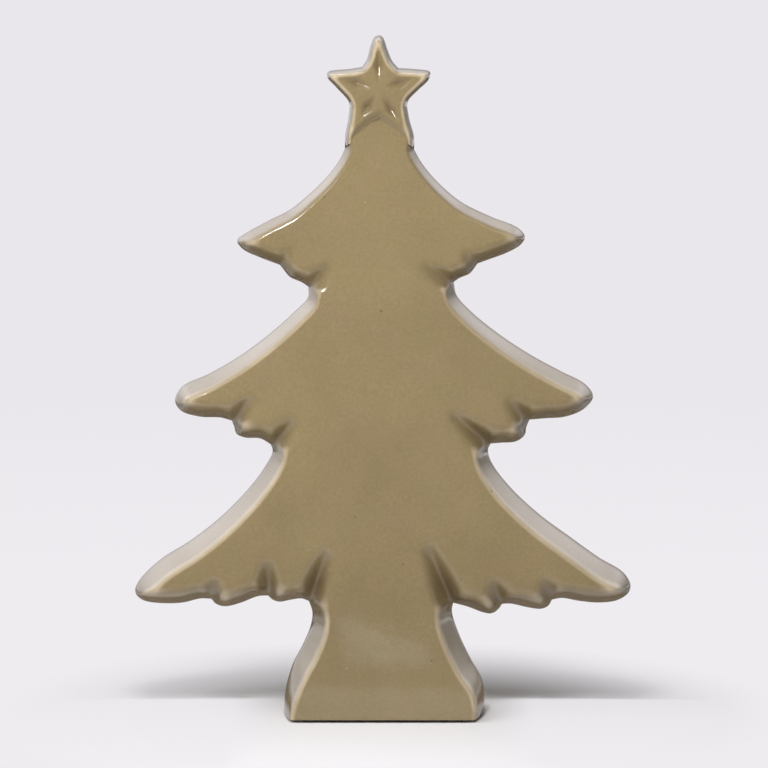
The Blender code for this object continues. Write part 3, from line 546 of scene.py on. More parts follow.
def net_of_cells(tree, given, flank_line):
    """A net of square cells over the silhouette, which stops a rim short of the flank line.

    Its border moves onto the rim's inner line, or onto the outline where there is no flank. Narrow
    rings lead out from there to the flank line. The points on the foot stay in one level row.
    """
    silhouette, cell, rim = given["Silhouette"], given["Cell"], given["Rim"]
    box = add_node(tree, "GeometryNodeBoundBox", silhouette)
    low = coordinates(tree, box.outputs["Min"])
    high = coordinates(tree, box.outputs["Max"])
    columns = cells_between(tree, low["X"], high["X"], cell)
    rows = cells_between(tree, low["Z"], high["Z"], cell)
    wide = calc(tree, "MULTIPLY", columns, cell)
    tall = calc(tree, "MULTIPLY", rows, cell)
    grid = add_node(tree, "GeometryNodeMeshGrid", wide, tall, calc(tree, "ADD", columns, 1),
                    calc(tree, "ADD", rows, 1))
    across = calc(tree, "MULTIPLY", calc(tree, "ADD", low["X"], high["X"]), 0.5)
    up = calc(tree, "ADD", low["Z"], calc(tree, "MULTIPLY", tall, 0.5))
    upright = add_node(tree, "GeometryNodeTransform")
    tree.links.new(grid.outputs["Mesh"], upright.inputs["Geometry"])
    tree.links.new(add_node(tree, "ShaderNodeCombineXYZ", across, 0, up).outputs[0],
                   upright.inputs["Translation"])
    upright.inputs["Rotation"].default_value = (math.pi / 2, 0, 0)
    short = calc(tree, "LESS_THAN", flank_line["Distance"], rim)
    outside = logic(tree, "OR", short, logic(tree, "NOT", within(tree, silhouette)))
    net = add_node(tree, "GeometryNodeDeleteGeometry", upright.outputs[0], outside,
                   domain="FACE").outputs[0]

    neighbors = add_node(tree, "GeometryNodeInputMeshEdgeNeighbors").outputs[0]
    single = add_node(tree, "FunctionNodeCompare", data_type="INT", operation="EQUAL")
    tree.links.new(neighbors, single.inputs["A"])
    single.inputs["B"].default_value = 1
    border = single.outputs[0]
    foot_level = calc(tree, "ADD", low["Z"], calc(tree, "MULTIPLY", cell, FOOT_BAND))
    on_foot = calc(tree, "LESS_THAN", coordinates(tree, point_place(tree))["Z"], foot_level)
    by_flank = calc(tree, "LESS_THAN", flank_line["Distance"],
                    calc(tree, "ADD", rim, calc(tree, "MULTIPLY", cell, RIM_BAND)))
    inward = vector_calc(tree, "SUBTRACT", point_place(tree), flank_line["Position"])

    def on_level_foot(place):
        at = coordinates(tree, place)
        z = mixed(tree, on_foot, at["Z"], low["Z"])
        return add_node(tree, "ShaderNodeCombineXYZ", at["X"], 0, z).outputs[0]

    to_rim = vector_calc(tree, "SCALE", vector_calc(tree, "NORMALIZE", inward), None, None, rim)
    rim_place = vector_calc(tree, "ADD", flank_line["Position"], to_rim)
    choice = add_node(tree, "GeometryNodeSwitch", by_flank, nearest(tree, silhouette)["Position"],
                      rim_place, input_type="VECTOR").outputs[0]
    net = add_node(tree, "GeometryNodeSetPosition", net, border, on_level_foot(choice)).outputs[0]
    ring_edge = logic(tree, "AND", logic(tree, "AND", border, by_flank), logic(tree, "NOT", on_foot))
    for share in RIM_RINGS:
        ring = add_node(tree, "GeometryNodeExtrudeMesh", mode="EDGES")
        tree.links.new(net, ring.inputs["Mesh"])
        tree.links.new(ring_edge, ring.inputs["Selection"])
        ring.inputs["Offset Scale"].default_value = 0
        ring_edge = ring.outputs["Top"]
        to_ring = vector_calc(tree, "SCALE", inward, None, None, share)
        place = vector_calc(tree, "ADD", flank_line["Position"], to_ring)
        net = add_node(tree, "GeometryNodeSetPosition", ring.outputs["Mesh"], ring_edge,
                       on_level_foot(place)).outputs[0]
    return net, border


def face_depth(tree, given, height):
    """How far the face stands from the seam at a height."""
    foot, neck = given["Half depth at foot"], given["Half depth at neck"]
    share = calc(tree, "MAXIMUM", calc(tree, "DIVIDE", height, given["Neck height"]), 0)
    lost = calc(tree, "MULTIPLY", calc(tree, "SUBTRACT", foot, neck),
                calc(tree, "POWER", share, given["Face bow"]))
    return calc(tree, "SUBTRACT", foot, lost)


def flank_width(tree, given, face, slant):
    """How far from the flank line a flank has climbed to the face."""
    bow = calc(tree, "MULTIPLY", face, given["Flank bow"])
    wall = calc(tree, "MULTIPLY", calc(tree, "ADD", face, given["Edge round"]), slant)
    return calc(tree, "SUBTRACT", diagonal(tree, wall, bow), bow)


def flank_depth(tree, given, distance, face, height, slant):
    """The depth of a flank that is a little bowed at the seam and turns steeper at the foot."""
    bow = calc(tree, "MULTIPLY", face, given["Flank bow"])
    bowed = calc(tree, "ADD", distance, calc(tree, "MULTIPLY", bow, 2))
    bowed = calc(tree, "SQRT", calc(tree, "MULTIPLY", distance, bowed))
    flank = calc(tree, "DIVIDE", bowed, slant)
    flare = between(tree, height, given["Flare height"], 0)
    flare = calc(tree, "MULTIPLY", calc(tree, "POWER", flare, given["Flare power"]), given["Flare"])
    return calc(tree, "MULTIPLY", flank, calc(tree, "ADD", flare, 1))


def distance_with_folds(tree, given, distance, slant):
    """The distance from the flank lines or from a fold, whichever is nearer.

    A fold is a line from its notch to its end. It climbs from the seam, so that the distance from
    it is counted on from its own height.
    """
    folds = drawn(tree, given, "Folds")
    ends = add_node(tree, "GeometryNodeAttributeDomainSize", folds).outputs["Point Count"]
    start = add_node(tree, "GeometryNodeRepeatInput")
    stop = add_node(tree, "GeometryNodeRepeatOutput")
    start.pair_with_output(stop)
    stop.repeat_items.clear()
    stop.repeat_items.new("FLOAT", "Distance")
    tree.links.new(calc(tree, "DIVIDE", ends, 2), start.inputs["Iterations"])
    tree.links.new(distance, start.inputs["Distance"])
    first = calc(tree, "MULTIPLY", start.outputs["Iteration"], 2)
    corners = []
    for index in (first, calc(tree, "ADD", first, 1)):
        corner = add_node(tree, "GeometryNodeSampleIndex", data_type="FLOAT_VECTOR")
        tree.links.new(folds, corner.inputs["Geometry"])
        tree.links.new(point_place(tree), corner.inputs["Value"])
        tree.links.new(index, corner.inputs["Index"])
        corners.append(corner.outputs[0])
    notch, end = corners
    along = vector_calc(tree, "SUBTRACT", end, notch)
    way = vector_calc(tree, "NORMALIZE", along)
    full = flank_width(tree, given, face_depth(tree, given, coordinates(tree, end)["Z"]), slant)
    reach = calc(tree, "MULTIPLY", full, given["Fold reach"])
    length = calc(tree, "SUBTRACT", vector_number(tree, "LENGTH", along), full)
    length = calc(tree, "ADD", length, reach)
    rise = calc(tree, "DIVIDE", reach, length)
    lean = calc(tree, "SQRT", calc(tree, "SUBTRACT", 1, calc(tree, "MULTIPLY", rise, rise)))
    offset = vector_calc(tree, "SUBTRACT", point_place(tree), notch)
    run = vector_number(tree, "DOT_PRODUCT", offset, way)
    off = vector_number(tree, "LENGTH", vector_calc(tree, "CROSS_PRODUCT", offset, way))
    back = calc(tree, "DIVIDE", calc(tree, "MULTIPLY", off, rise), lean)
    foot = calc(tree, "MAXIMUM", calc(tree, "SUBTRACT", run, back), 0)
    foot = calc(tree, "MINIMUM", foot, length)
    away = diagonal(tree, calc(tree, "SUBTRACT", run, foot), off, given["Fold round"])
    from_fold = calc(tree, "ADD", away, calc(tree, "MULTIPLY", foot, rise))
    tree.links.new(calc(tree, "MINIMUM", start.outputs["Distance"], from_fold),
                   stop.inputs["Distance"])
    return stop.outputs["Distance"]


def mirrored_back(tree, front, border):
    """The front with its mirror image, closed between them at the foot and the top of the neck."""
    mirrored = vector_calc(tree, "MULTIPLY", point_place(tree), (1, -1, 1))
    closed = add_node(tree, "GeometryNodeExtrudeMesh", mode="EDGES")
    tree.links.new(front, closed.inputs["Mesh"])
    tree.links.new(border, closed.inputs["Selection"])
    closed.inputs["Offset Scale"].default_value = 0
    walls = add_node(tree, "GeometryNodeSetPosition", closed.outputs["Mesh"],
                     closed.outputs["Top"], mirrored).outputs[0]
    back = add_node(tree, "GeometryNodeSetPosition", front, None, mirrored).outputs[0]
    back = add_node(tree, "GeometryNodeFlipFaces", back).outputs[0]
    both = tree.nodes.new("GeometryNodeJoinGeometry")
    tree.links.new(walls, both.inputs[0])
    tree.links.new(back, both.inputs[0])
    body = add_node(tree, "GeometryNodeMergeByDistance", both.outputs[0])
    body.inputs["Distance"].default_value = MERGE_DISTANCE
    return body.outputs[0]


def pressed_clay():
    """Geometry nodes that press a body out of its silhouette, as a pair of drafted moulds does.

    Each point of a fine net is raised by a depth that grows with the distance to the nearest flank
    line, at the draft angle, until a round leads over into the face. The back mirrors the front.
    """
    tree = bpy.data.node_groups.new("pressed_clay", "GeometryNodeTree")
    inputs = {
        "Geometry": ["Silhouette"],
        "Object": ["Flank lines", "Folds", "Sunk shape", "Faired line"],
        "Float": ["Cell", "Rim", "Draft", "Flank bow", "Edge round", "Lower round", "Fold round",
                  "Fold reach", "Flare height", "Flare", "Flare power", "Half depth at foot",
                  "Half depth at neck", "Neck height", "Face bow", "Sunk depth", "Sunk slope",
                  "Faired depth", "Faired width"],
        "Int": ["Softening", "Lower softening", "Level steps"],
        "Material": ["Glaze"],
    }
    for kind, names in inputs.items():
        for name in names:
            tree.interface.new_socket(name, in_out="INPUT", socket_type="NodeSocket" + kind)
    tree.interface.new_socket("Body", in_out="OUTPUT", socket_type="NodeSocketGeometry")
    given = tree.nodes.new("NodeGroupInput").outputs
    slant = calc(tree, "TANGENT", given["Draft"])
    flank_line = nearest(tree, drawn(tree, given, "Flank lines"))
    net, border = net_of_cells(tree, given, flank_line)

    def cells(count):
        return calc(tree, "MULTIPLY", given["Cell"], count)

    # Depth: the flank, a round and the face, with a softer round where an edge faces down
    distance = calc(tree, "SUBTRACT", flank_line["Distance"], TOUCHING)
    distance = distance_with_folds(tree, given, calc(tree, "MAXIMUM", distance, 0), slant)
    height = coordinates(tree, point_place(tree))["Z"]
    face = face_depth(tree, given, height)
    flank = flank_depth(tree, given, distance, face, height, slant)
    inward = vector_calc(tree, "SUBTRACT", point_place(tree), flank_line["Position"])
    down = coordinates(tree, vector_calc(tree, "NORMALIZE", inward))["Z"]
    in_fold = calc(tree, "LESS_THAN", distance, calc(tree, "SUBTRACT", flank_line["Distance"], cells(1)))
    lower = calc(tree, "MAXIMUM", between(tree, down, *FACING_DOWN, soft=True), in_fold)
    lower = blurred(tree, lower, FACING_DOWN_BLEND)
    edge_round = mixed(tree, lower, given["Edge round"], given["Lower round"])
    depth = calc(tree, "SMOOTH_MIN", flank, face, edge_round)

    # The sunk shape: a slope in from its outline, down to a flat floor
    shape = drawn(tree, given, "Sunk shape")
    slope = calc(tree, "MULTIPLY", nearest(tree, shape)["Distance"], given["Sunk slope"])
    sunk = calc(tree, "MULTIPLY", calc(tree, "MINIMUM", slope, given["Sunk depth"]),
                within(tree, shape))
    depth = calc(tree, "SUBTRACT", depth, sunk)

    # The faired line: the face comes down to it in a soft curve
    beside = calc(tree, "DIVIDE", nearest(tree, drawn(tree, given, "Faired line"))["Distance"],
                  given["Faired width"])
    fairing = between(tree, beside, 0, 1, given["Faired depth"], 0, soft=True)
    depth = calc(tree, "SUBTRACT", depth, fairing)

    # Sponging softens ridges and folds, but not the seam
    soft = between(tree, flank_line["Distance"], *[cells(c) for c in SPONGED_FROM], soft=True)
    depth = mixed(tree, lower, blurred(tree, depth, given["Softening"], soft),
                  blurred(tree, depth, given["Lower softening"], soft))
    net = kept_on(tree, net, "depth", depth)
    depth = add_node(tree, "GeometryNodeInputNamedAttribute", "depth", data_type="FLOAT").outputs[0]

    # For the glaze: how proud the clay stands of its surroundings, and where glaze pools and shade is
    # painted
    off_seam = between(tree, flank_line["Distance"], *[cells(c) for c in PROUD_FROM])
    proud = calc(tree, "SUBTRACT", depth, blurred(tree, depth, given["Level steps"]))
    net = kept_on(tree, net, "proud", calc(tree, "MULTIPLY", proud, off_seam))
    nearer = calc(tree, "DIVIDE", distance, calc(tree, "ADD", flank_line["Distance"], ABOUT_NOTHING))
    below_face = calc(tree, "SUBTRACT", 1, calc(tree, "DIVIDE", depth, face))
    pool_and_shade = calc(tree, "MULTIPLY", between(tree, nearer, *POOL_AND_SHADE_NEARER, 1, 0),
                between(tree, below_face, *POOL_AND_SHADE_DEPTH))
    on_floor = calc(tree, "DIVIDE", sunk, calc(tree, "ADD", given["Sunk depth"], TOUCHING))
    pool_and_shade = calc(tree, "MAXIMUM", pool_and_shade, calc(tree, "MULTIPLY", on_floor, SUNK_POOL_AND_SHADE))
    net = kept_on(tree, net, "pool_and_shade", blurred(tree, pool_and_shade, POOL_AND_SHADE_BLEND))

    lift = add_node(tree, "ShaderNodeCombineXYZ", 0, calc(tree, "MULTIPLY", depth, -1), 0)
    front = add_node(tree, "GeometryNodeSetPosition", net, None, None, lift.outputs[0]).outputs[0]
    body = mirrored_back(tree, front, border)
    body = add_node(tree, "GeometryNodeSetShadeSmooth", body).outputs[0]
    body = add_node(tree, "GeometryNodeRealizeInstances", body).outputs[0]
    body = add_node(tree, "GeometryNodeSetMaterial", body)
    tree.links.new(given["Glaze"], body.inputs["Material"])
    tree.links.new(body.outputs[0], tree.nodes.new("NodeGroupOutput").inputs[0])
    return tree


def plain_mesh(name, thing):
    """The mesh that an object's modifiers give, which then come off the object."""
    state = bpy.context.evaluated_depsgraph_get()
    mesh = bpy.data.meshes.new_from_object(thing.evaluated_get(state), depsgraph=state,
                                           preserve_all_data_layers=True)
    mesh.name = name
    thing.modifiers.clear()
    return mesh


def pressed(name, silhouette, press, **values):
    """The piece that a set of geometry nodes makes of a drawing, as a plain mesh."""
    modifier = silhouette.modifiers.new("pressing", "NODES")
    modifier.node_group = press
    sockets = {s.name: s.identifier for s in press.interface.items_tree if s.in_out == "INPUT"}
    for key, value in values.items():
        modifier[sockets[key.replace("_", " ")]] = value
    return add_object(name, plain_mesh(name, silhouette))


def effect(name, inputs, outputs):
    """A shader node group for an effect, with the group's inputs and outputs as seen from inside."""
    group = bpy.data.node_groups.new(name, "ShaderNodeTree")
    for label, value in inputs:
        socket = group.interface.new_socket(label, in_out="INPUT", socket_type="NodeSocketFloat")
        socket.default_value = value
    for label in outputs:
        group.interface.new_socket(label, in_out="OUTPUT", socket_type="NodeSocketFloat")
    return (group, group.nodes.new("NodeGroupInput").outputs,
            group.nodes.new("NodeGroupOutput").inputs)


def kiln_drift():
    """Slow drifts of tone, where a coat or a clay lies thicker or has been fired hotter."""
    group, given, out = effect("kiln_drift", [("Patch size", 0.012)], ["Drift"])
    scale = calc(group, "DIVIDE", 1, given["Patch size"])
    noise = add_node(group, "ShaderNodeTexNoise", object_place(group), None, scale, 3.0, 0.5)
    drift = add_node(group, "ShaderNodeMapRange", noise.outputs[0], 0.32, 0.68, 0, 1)
    group.links.new(drift.outputs[0], out["Drift"])
    return group


def clay_grain():
    """Fine grains, which lie in the surface and stand a little out of it."""
    group, given, out = effect("clay_grain", [("Grain size", 0.0008)], ["Grain"])
    scale = calc(group, "DIVIDE", 1, given["Grain size"])
    noise = add_node(group, "ShaderNodeTexNoise", object_place(group), None, scale, 2.0, 0.6)
    grain = add_node(group, "ShaderNodeMapRange", noise.outputs[0], 0.3, 0.7, 0, 1)
    group.links.new(grain.outputs[0], out["Grain"])
    return group


def scattered_spots():
    """Sparse round spots of uneven size, such as pinholes, iron specks and lint."""
    group, given, out = effect("scattered_spots", [("Spacing", 0.01), ("Spot size", 0.0008)], ["Spots"])
    scale = calc(group, "DIVIDE", 1, given["Spacing"])
    cells = add_node(group, "ShaderNodeTexVoronoi", object_place(group), None, scale)
    chance = add_node(group, "ShaderNodeSeparateColor", cells.outputs["Color"]).outputs[0]
    radius = calc(group, "MULTIPLY", calc(group, "DIVIDE", given["Spot size"], given["Spacing"]), 0.5)
    radius = calc(group, "MULTIPLY", radius, calc(group, "ADD", chance, 0.4))
    spots = add_node(group, "ShaderNodeMapRange", cells.outputs["Distance"],
                     calc(group, "MULTIPLY", radius, 0.55), radius, 1, 0)
    group.links.new(spots.outputs[0], out["Spots"])
    return group


def laid_in(look, group, **values):
    """An effect placed in a material with the material's own values."""
    node = add_node(look.node_tree, "ShaderNodeGroup", node_tree=group)
    for key, value in values.items():
        node.inputs[key.replace("_", " ")].default_value = value
    return node.outputs[0]


def tinted(tree, color, factor):
    """A colour made lighter or darker by a factor."""
    return vector_calc(tree, "SCALE", color, None, None, factor)


def raised(tree, *heights):
    """The normal of a surface on which heights, in metres, are added up."""
    total = heights[0]
    for height in heights[1:]:
        total = calc(tree, "ADD", total, height)
    bump = add_node(tree, "ShaderNodeBump")
    bump.inputs["Strength"].default_value = 1.0
    bump.inputs["Distance"].default_value = 1.0
    tree.links.new(total, bump.inputs["Height"])
    return bump.outputs[0]


# The glaze drifts between two sand tones. Proud edges are paler, partly where the glaze has run thin
# and partly as a painted highlight, and folds and hollows are darker, partly where it stands thick and
# partly as painted shade. It has pinholes, a few pale spots and a soft waviness, and shows the seam.
GREEN_SAND = (0.222, 0.172, 0.086)
PINK_SAND = (0.228, 0.170, 0.090)
THIN_GLAZE_AND_HIGHLIGHT = (0.50, 0.41, 0.28)
THICK_GLAZE_AND_SHADE = (0.12, 0.076, 0.036)
PINHOLE_TONE = (0.10, 0.070, 0.040)
PALE_SPOT = (0.46, 0.38, 0.26)
SEAM_TONE = (0.34, 0.27, 0.165)
PATCH_LEVELS = (0.94, 1.06)         # the tone's level from one broad patch to the next
GRAIN_LEVELS = (0.93, 1.07)
THIN_AND_HIGHLIGHT_FROM = (0.0005, 0.0013)        # clay that stands this far proud has thin glaze and a painted highlight
THIN_AND_HIGHLIGHT_SHARE = (0.65, 0.95)
THICK_AND_SHADE_FROM = (-0.0006, -0.0026)     # clay that lies this far back has thick glaze and painted shade
POOL_AND_SHADE_SHARE = 0.95
SEAM_LINE = (0.0003, 0.0009)        # the seam's line fades between these distances
SEAM_WANDER = 0.0002
SEAM_SHARE = 0.6
GLOSS = (0.09, 0.13)                # roughness of the glaze from patch to patch
GRAIN_GLOSS = 0.03                  # roughness that grains and pinholes add
PINHOLE_GLOSS = 0.3
COAT = (0.28, 0.40)
WAVE_HEIGHT = 0.00016
GRAIN_HEIGHT = 0.000006
SEAM_HEIGHT = 0.00005
PINHOLE_DEPTH = 0.00012
drift_group, grain_group, spots_group = kiln_drift(), clay_grain(), scattered_spots()
glaze, nodes, shader = new_look("sand_glaze")
patches = laid_in(glaze, drift_group, Patch_size=0.011)
pools = laid_in(glaze, drift_group, Patch_size=0.034)
grain = laid_in(glaze, grain_group, Grain_size=0.0009)
waves = laid_in(glaze, drift_group, Patch_size=0.022)
pinholes = laid_in(glaze, spots_group, Spacing=0.010, Spot_size=0.0007)
pale_spots = laid_in(glaze, spots_group, Spacing=0.012, Spot_size=0.0008)
proud = add_node(nodes, "ShaderNodeAttribute", attribute_name="proud").outputs["Fac"]
pooled_glaze_and_shade = add_node(nodes, "ShaderNodeAttribute", attribute_name="pool_and_shade").outputs["Fac"]
# Proud edges are paler: partly thin glaze, partly a painted highlight
thin_glaze_and_highlight = calc(nodes, "MULTIPLY", between(nodes, proud, *THIN_AND_HIGHLIGHT_FROM),
            between(nodes, patches, 0, 1, *THIN_AND_HIGHLIGHT_SHARE))
# Folds and hollows are darker: partly pooled glaze, partly painted shade
thick_glaze_and_shade = calc(nodes, "MAXIMUM", between(nodes, proud, *THICK_AND_SHADE_FROM),
             calc(nodes, "MULTIPLY", pooled_glaze_and_shade, POOL_AND_SHADE_SHARE))
level = calc(nodes, "MULTIPLY", between(nodes, pools, 0, 1, *PATCH_LEVELS),
             between(nodes, grain, 0, 1, *GRAIN_LEVELS))
wander = between(nodes, waves, 0, 1, -SEAM_WANDER, SEAM_WANDER)
from_seam = calc(nodes, "ADD", coordinates(nodes, object_place(nodes))["Y"], wander)
seam_line = between(nodes, calc(nodes, "ABSOLUTE", from_seam), *SEAM_LINE, 1, 0)
color = tinted(nodes, blended(nodes, patches, GREEN_SAND, PINK_SAND), level)
color = blended(nodes, thick_glaze_and_shade, color, THICK_GLAZE_AND_SHADE)
color = blended(nodes, thin_glaze_and_highlight, color, THIN_GLAZE_AND_HIGHLIGHT)
color = blended(nodes, calc(nodes, "MULTIPLY", seam_line, SEAM_SHARE), color, SEAM_TONE)
color = blended(nodes, pale_spots, color, PALE_SPOT)
color = blended(nodes, pinholes, color, PINHOLE_TONE)
nodes.links.new(color, shader.inputs["Base Color"])
gloss = calc(nodes, "ADD", between(nodes, patches, 0, 1, *GLOSS),
             between(nodes, grain, 0, 1, 0, GRAIN_GLOSS))
gloss = calc(nodes, "ADD", gloss, calc(nodes, "MULTIPLY", pinholes, PINHOLE_GLOSS))
nodes.links.new(gloss, shader.inputs["Roughness"])
nodes.links.new(between(nodes, pools, 0, 1, *COAT), shader.inputs["Coat Weight"])
shader.inputs["Coat Roughness"].default_value = 0.05
nodes.links.new(raised(nodes, calc(nodes, "MULTIPLY", waves, WAVE_HEIGHT),
                       calc(nodes, "MULTIPLY", grain, GRAIN_HEIGHT),
                       calc(nodes, "MULTIPLY", seam_line, SEAM_HEIGHT),
                       calc(nodes, "MULTIPLY", pinholes, -PINHOLE_DEPTH)),
                shader.inputs["Normal"])

left_side, right_side = side_line(LEFT_SIDE), side_line(RIGHT_SIDE)
left_leg, right_leg = side_line(STAR_LEFT[:1]), side_line(STAR_RIGHT[:1])
rise = Vector((0, 0, NECK_RISE))
flanks = drawing("tree_flank_lines", left_side + left_leg[1:] + [left_leg[-1] + rise]
                 + [right_leg[-1] + rise] + right_leg[::-1] + right_side[::-1][1:], False)
fork = [placed(p) for p in FORK]
neck_top = moved_aside(fork, -NECK_OVERLAP)
tree_drawing = drawing("tree_silhouette", above(left_side, FOOT_Z) + neck_top[1:-1]
                       + above(right_side, FOOT_Z)[::-1], True)
fold_ends = [(placed(points[-1]), placed(end)) for points, end in LEFT_SIDE + RIGHT_SIDE
             if end is not None]
folds = drawing("tree_folds", [p for pair in fold_ends for p in pair], False)
nothing = drawing("no_shape", [], False)
clay_press = pressed_clay()
tree = pressed("glazed_tree", tree_drawing, clay_press, Flank_lines=flanks, Folds=folds,
               Sunk_shape=nothing, Faired_line=nothing, Cell=TREE_CELL, Rim=TREE_RIM, Draft=DRAFT,
               Flank_bow=FLANK_BOW, Edge_round=EDGE_ROUND, Lower_round=LOWER_ROUND,
               Fold_round=FOLD_ROUND, Fold_reach=FOLD_REACH, Flare_height=FLARE_HEIGHT,
               Flare=FLARE, Flare_power=FLARE_POWER, Half_depth_at_foot=HALF_DEPTH_FOOT,
               Half_depth_at_neck=HALF_DEPTH_NECK,
               Neck_height=(NECK_LEFT[1] + NECK_RIGHT[1]) / 2 * HEIGHT, Face_bow=FACE_BOW,
               Sunk_depth=0.0, Sunk_slope=0.0, Faired_depth=0.0, Faired_width=1.0,
               Softening=TREE_SOFTENING, Lower_softening=LOWER_SOFTENING,
               Level_steps=TREE_LEVEL_STEPS, Glaze=glaze)

# The foot is open below, and the slab that closes it sits in this pocket
PLATE_GAP = 0.0003
POCKET_DEPTH = 0.004        # the pocket goes on above the slab, as the hollow does
plate_low, plate_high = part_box("base_plate")
plate_middle = (plate_low + plate_high) / 2
plate_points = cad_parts["base_plate"].data.vertices
corners = {tuple(round(c, 6) for c in vert.co) for vert in plate_points}
shape = bmesh.new()
for corner in sorted(corners):
    vert = shape.verts.new(corner)
    away = vert.co - plate_middle
    vert.co.x += math.copysign(PLATE_GAP, away.x)
    vert.co.y += math.copysign(PLATE_GAP, away.y)
    vert.co.z += POCKET_DEPTH if away.z > 0 else -POCKET_DEPTH
hull = bmesh.ops.convex_hull(shape, input=shape.verts)
inner_parts = hull["geom_interior"] + hull["geom_unused"]
spare = {part for part in inner_parts if isinstance(part, bmesh.types.BMVert)}
bmesh.ops.delete(shape, geom=list(spare), context="VERTS")
bmesh.ops.recalc_face_normals(shape, faces=shape.faces)
pocket_mesh = bpy.data.meshes.new("foot_pocket")
shape.to_mesh(pocket_mesh)
shape.free()
pocket = add_object("foot_pocket", pocket_mesh)
opening = tree.modifiers.new("foot_pocket", "BOOLEAN")
opening.object = pocket
opening.solver = "EXACT"
tree.data = plain_mesh("glazed_tree", tree)
bpy.data.objects.remove(pocket)

# The foot's lower edge is wiped a little round, as far as its narrowest faces let it
RIM_ROUND = 0.0008
RIM_MARGIN = 0.0015         # the foot's outer edge lies at least this far outside the slab
STANDING = 0.7              # a face stands up when its normal rises less than this
LYING = 0.9                 # and lies flat when it rises more than this
work = bmesh.new()
work.from_mesh(tree.data)
inner_x = max(abs(plate_low.x), abs(plate_high.x))
inner_y = max(abs(plate_low.y), abs(plate_high.y))
rim = []
for edge in work.edges:
    if all(abs(v.co.z - FOOT_Z) < 1e-5 for v in edge.verts) and len(edge.link_faces) == 2:
        middle = (edge.verts[0].co + edge.verts[1].co) / 2
        upright, level = sorted(abs(f.normal.z) for f in edge.link_faces)
        outside = abs(middle.x) > inner_x + RIM_MARGIN or abs(middle.y) > inner_y + RIM_MARGIN
        if upright < STANDING and level > LYING and outside:
            rim.append(edge)
bmesh.ops.bevel(work, geom=rim, offset=RIM_ROUND, segments=3, profile=0.5, affect="EDGES",
                clamp_overlap=True)
work.to_mesh(tree.data)
work.free()
tree.data.materials.clear()
tree.data.materials.append(glaze)
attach(tree, "root")
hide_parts("front_shell", "back_shell", "slip_seam")

# Star. It is pressed solid from the tree's clay, with a hollow in each of its five arms on both
# faces, and luted astride the neck's peak, so that its two legs run down both sides of the neck.
STAR_DRAFT = math.radians(9)
STAR_HALF_DEPTH = 0.0103
STAR_ROUND = 0.0040
SUNK_DEPTH = 0.0018
SUNK_SLOPE = 0.85
SUNK_HALF_WIDTH = 0.0022
SUNK_SPAN = (0.14, 0.60, 1.0)   # where each arm's hollow starts, is widest and ends
FORK_DEPTH = 0.0022         # the legs' inner edges come down to the neck by this much
FORK_WIDTH = 0.0026
SUNK_TIPS = [(-0.0077, 0.9808), (-0.0833, 0.9380), (-0.0450, 0.8800), (0.0329, 0.8728),
             (0.0614, 0.9372)]
STAR_CELL = 0.0003
STAR_RIM = 0.0003
STAR_SOFTENING = 6
STAR_LEVEL_STEPS = 44
star_left, star_right = side_line(STAR_LEFT), side_line(STAR_RIGHT)
star_line = star_left + star_right[::-1][1:]
star_flanks = drawing("star_flank_lines", star_line, False)
star_drawing = drawing("star_silhouette", star_line + fork[::-1][1:-1], True)
sunk_tips = [placed(p) for p in SUNK_TIPS]
sunk_middle = sum(sunk_tips, Vector()) / len(sunk_tips)
sunk_points = []
for tip in sunk_tips:
    start, widest, end = [sunk_middle.lerp(tip, share) for share in SUNK_SPAN]
    aside = (tip - sunk_middle).cross(Vector((0, 1, 0))).normalized() * SUNK_HALF_WIDTH
    sunk_points += [start, widest + aside, end, widest - aside]
sunk_star = drawing("sunk_star", [], True)
sunk_star.data.clear_geometry()
sunk_star.data.from_pydata(sunk_points, [],
                           [list(range(i, i + 4)) for i in range(0, len(sunk_points), 4)])
fork_line = drawing("fork_line", fork, False)
star = pressed("glazed_star", star_drawing, clay_press, Flank_lines=star_flanks, Folds=nothing,
               Sunk_shape=sunk_star, Faired_line=fork_line, Cell=STAR_CELL, Rim=STAR_RIM,
               Draft=STAR_DRAFT, Flank_bow=FLANK_BOW, Edge_round=STAR_ROUND,
               Lower_round=STAR_ROUND, Fold_round=0.0, Fold_reach=FOLD_REACH, Flare_height=0.0,
               Flare=0.0, Flare_power=1.0, Half_depth_at_foot=STAR_HALF_DEPTH,
               Half_depth_at_neck=STAR_HALF_DEPTH, Neck_height=HEIGHT, Face_bow=1.0,
               Sunk_depth=SUNK_DEPTH, Sunk_slope=SUNK_SLOPE, Faired_depth=FORK_DEPTH,
               Faired_width=FORK_WIDTH, Softening=STAR_SOFTENING,
               Lower_softening=STAR_SOFTENING, Level_steps=STAR_LEVEL_STEPS, Glaze=glaze)
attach(star, "root")
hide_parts("star_topper")

# Foot slab. A flat slab of the same clay closes the foot. It has a vent hole, without which the
# hollow would burst in the kiln, and it stays unglazed, so that its bare clay shows.
PALE_CLAY = (0.62, 0.52, 0.39)
WARM_CLAY = (0.53, 0.42, 0.29)
GROG_TONE = (0.30, 0.20, 0.12)
GROG_SHARE = 0.7
FINE_LEVELS = (0.90, 1.08)
CLAY_ROUGHNESS = (0.75, 0.95)
FINE_HEIGHT = 0.00004
COARSE_HEIGHT = 0.00007
GROG_HEIGHT = 0.00006
bare_clay, nodes, shader = new_look("bare_clay")
clay_patches = laid_in(bare_clay, drift_group, Patch_size=0.009)
fine_grain = laid_in(bare_clay, grain_group, Grain_size=0.0005)
coarse_grain = laid_in(bare_clay, grain_group, Grain_size=0.0016)
grog = laid_in(bare_clay, spots_group, Spacing=0.0028, Spot_size=0.0006)
color = blended(nodes, clay_patches, PALE_CLAY, WARM_CLAY)
color = tinted(nodes, color, between(nodes, fine_grain, 0, 1, *FINE_LEVELS))
color = blended(nodes, calc(nodes, "MULTIPLY", grog, GROG_SHARE), color, GROG_TONE)
nodes.links.new(color, shader.inputs["Base Color"])
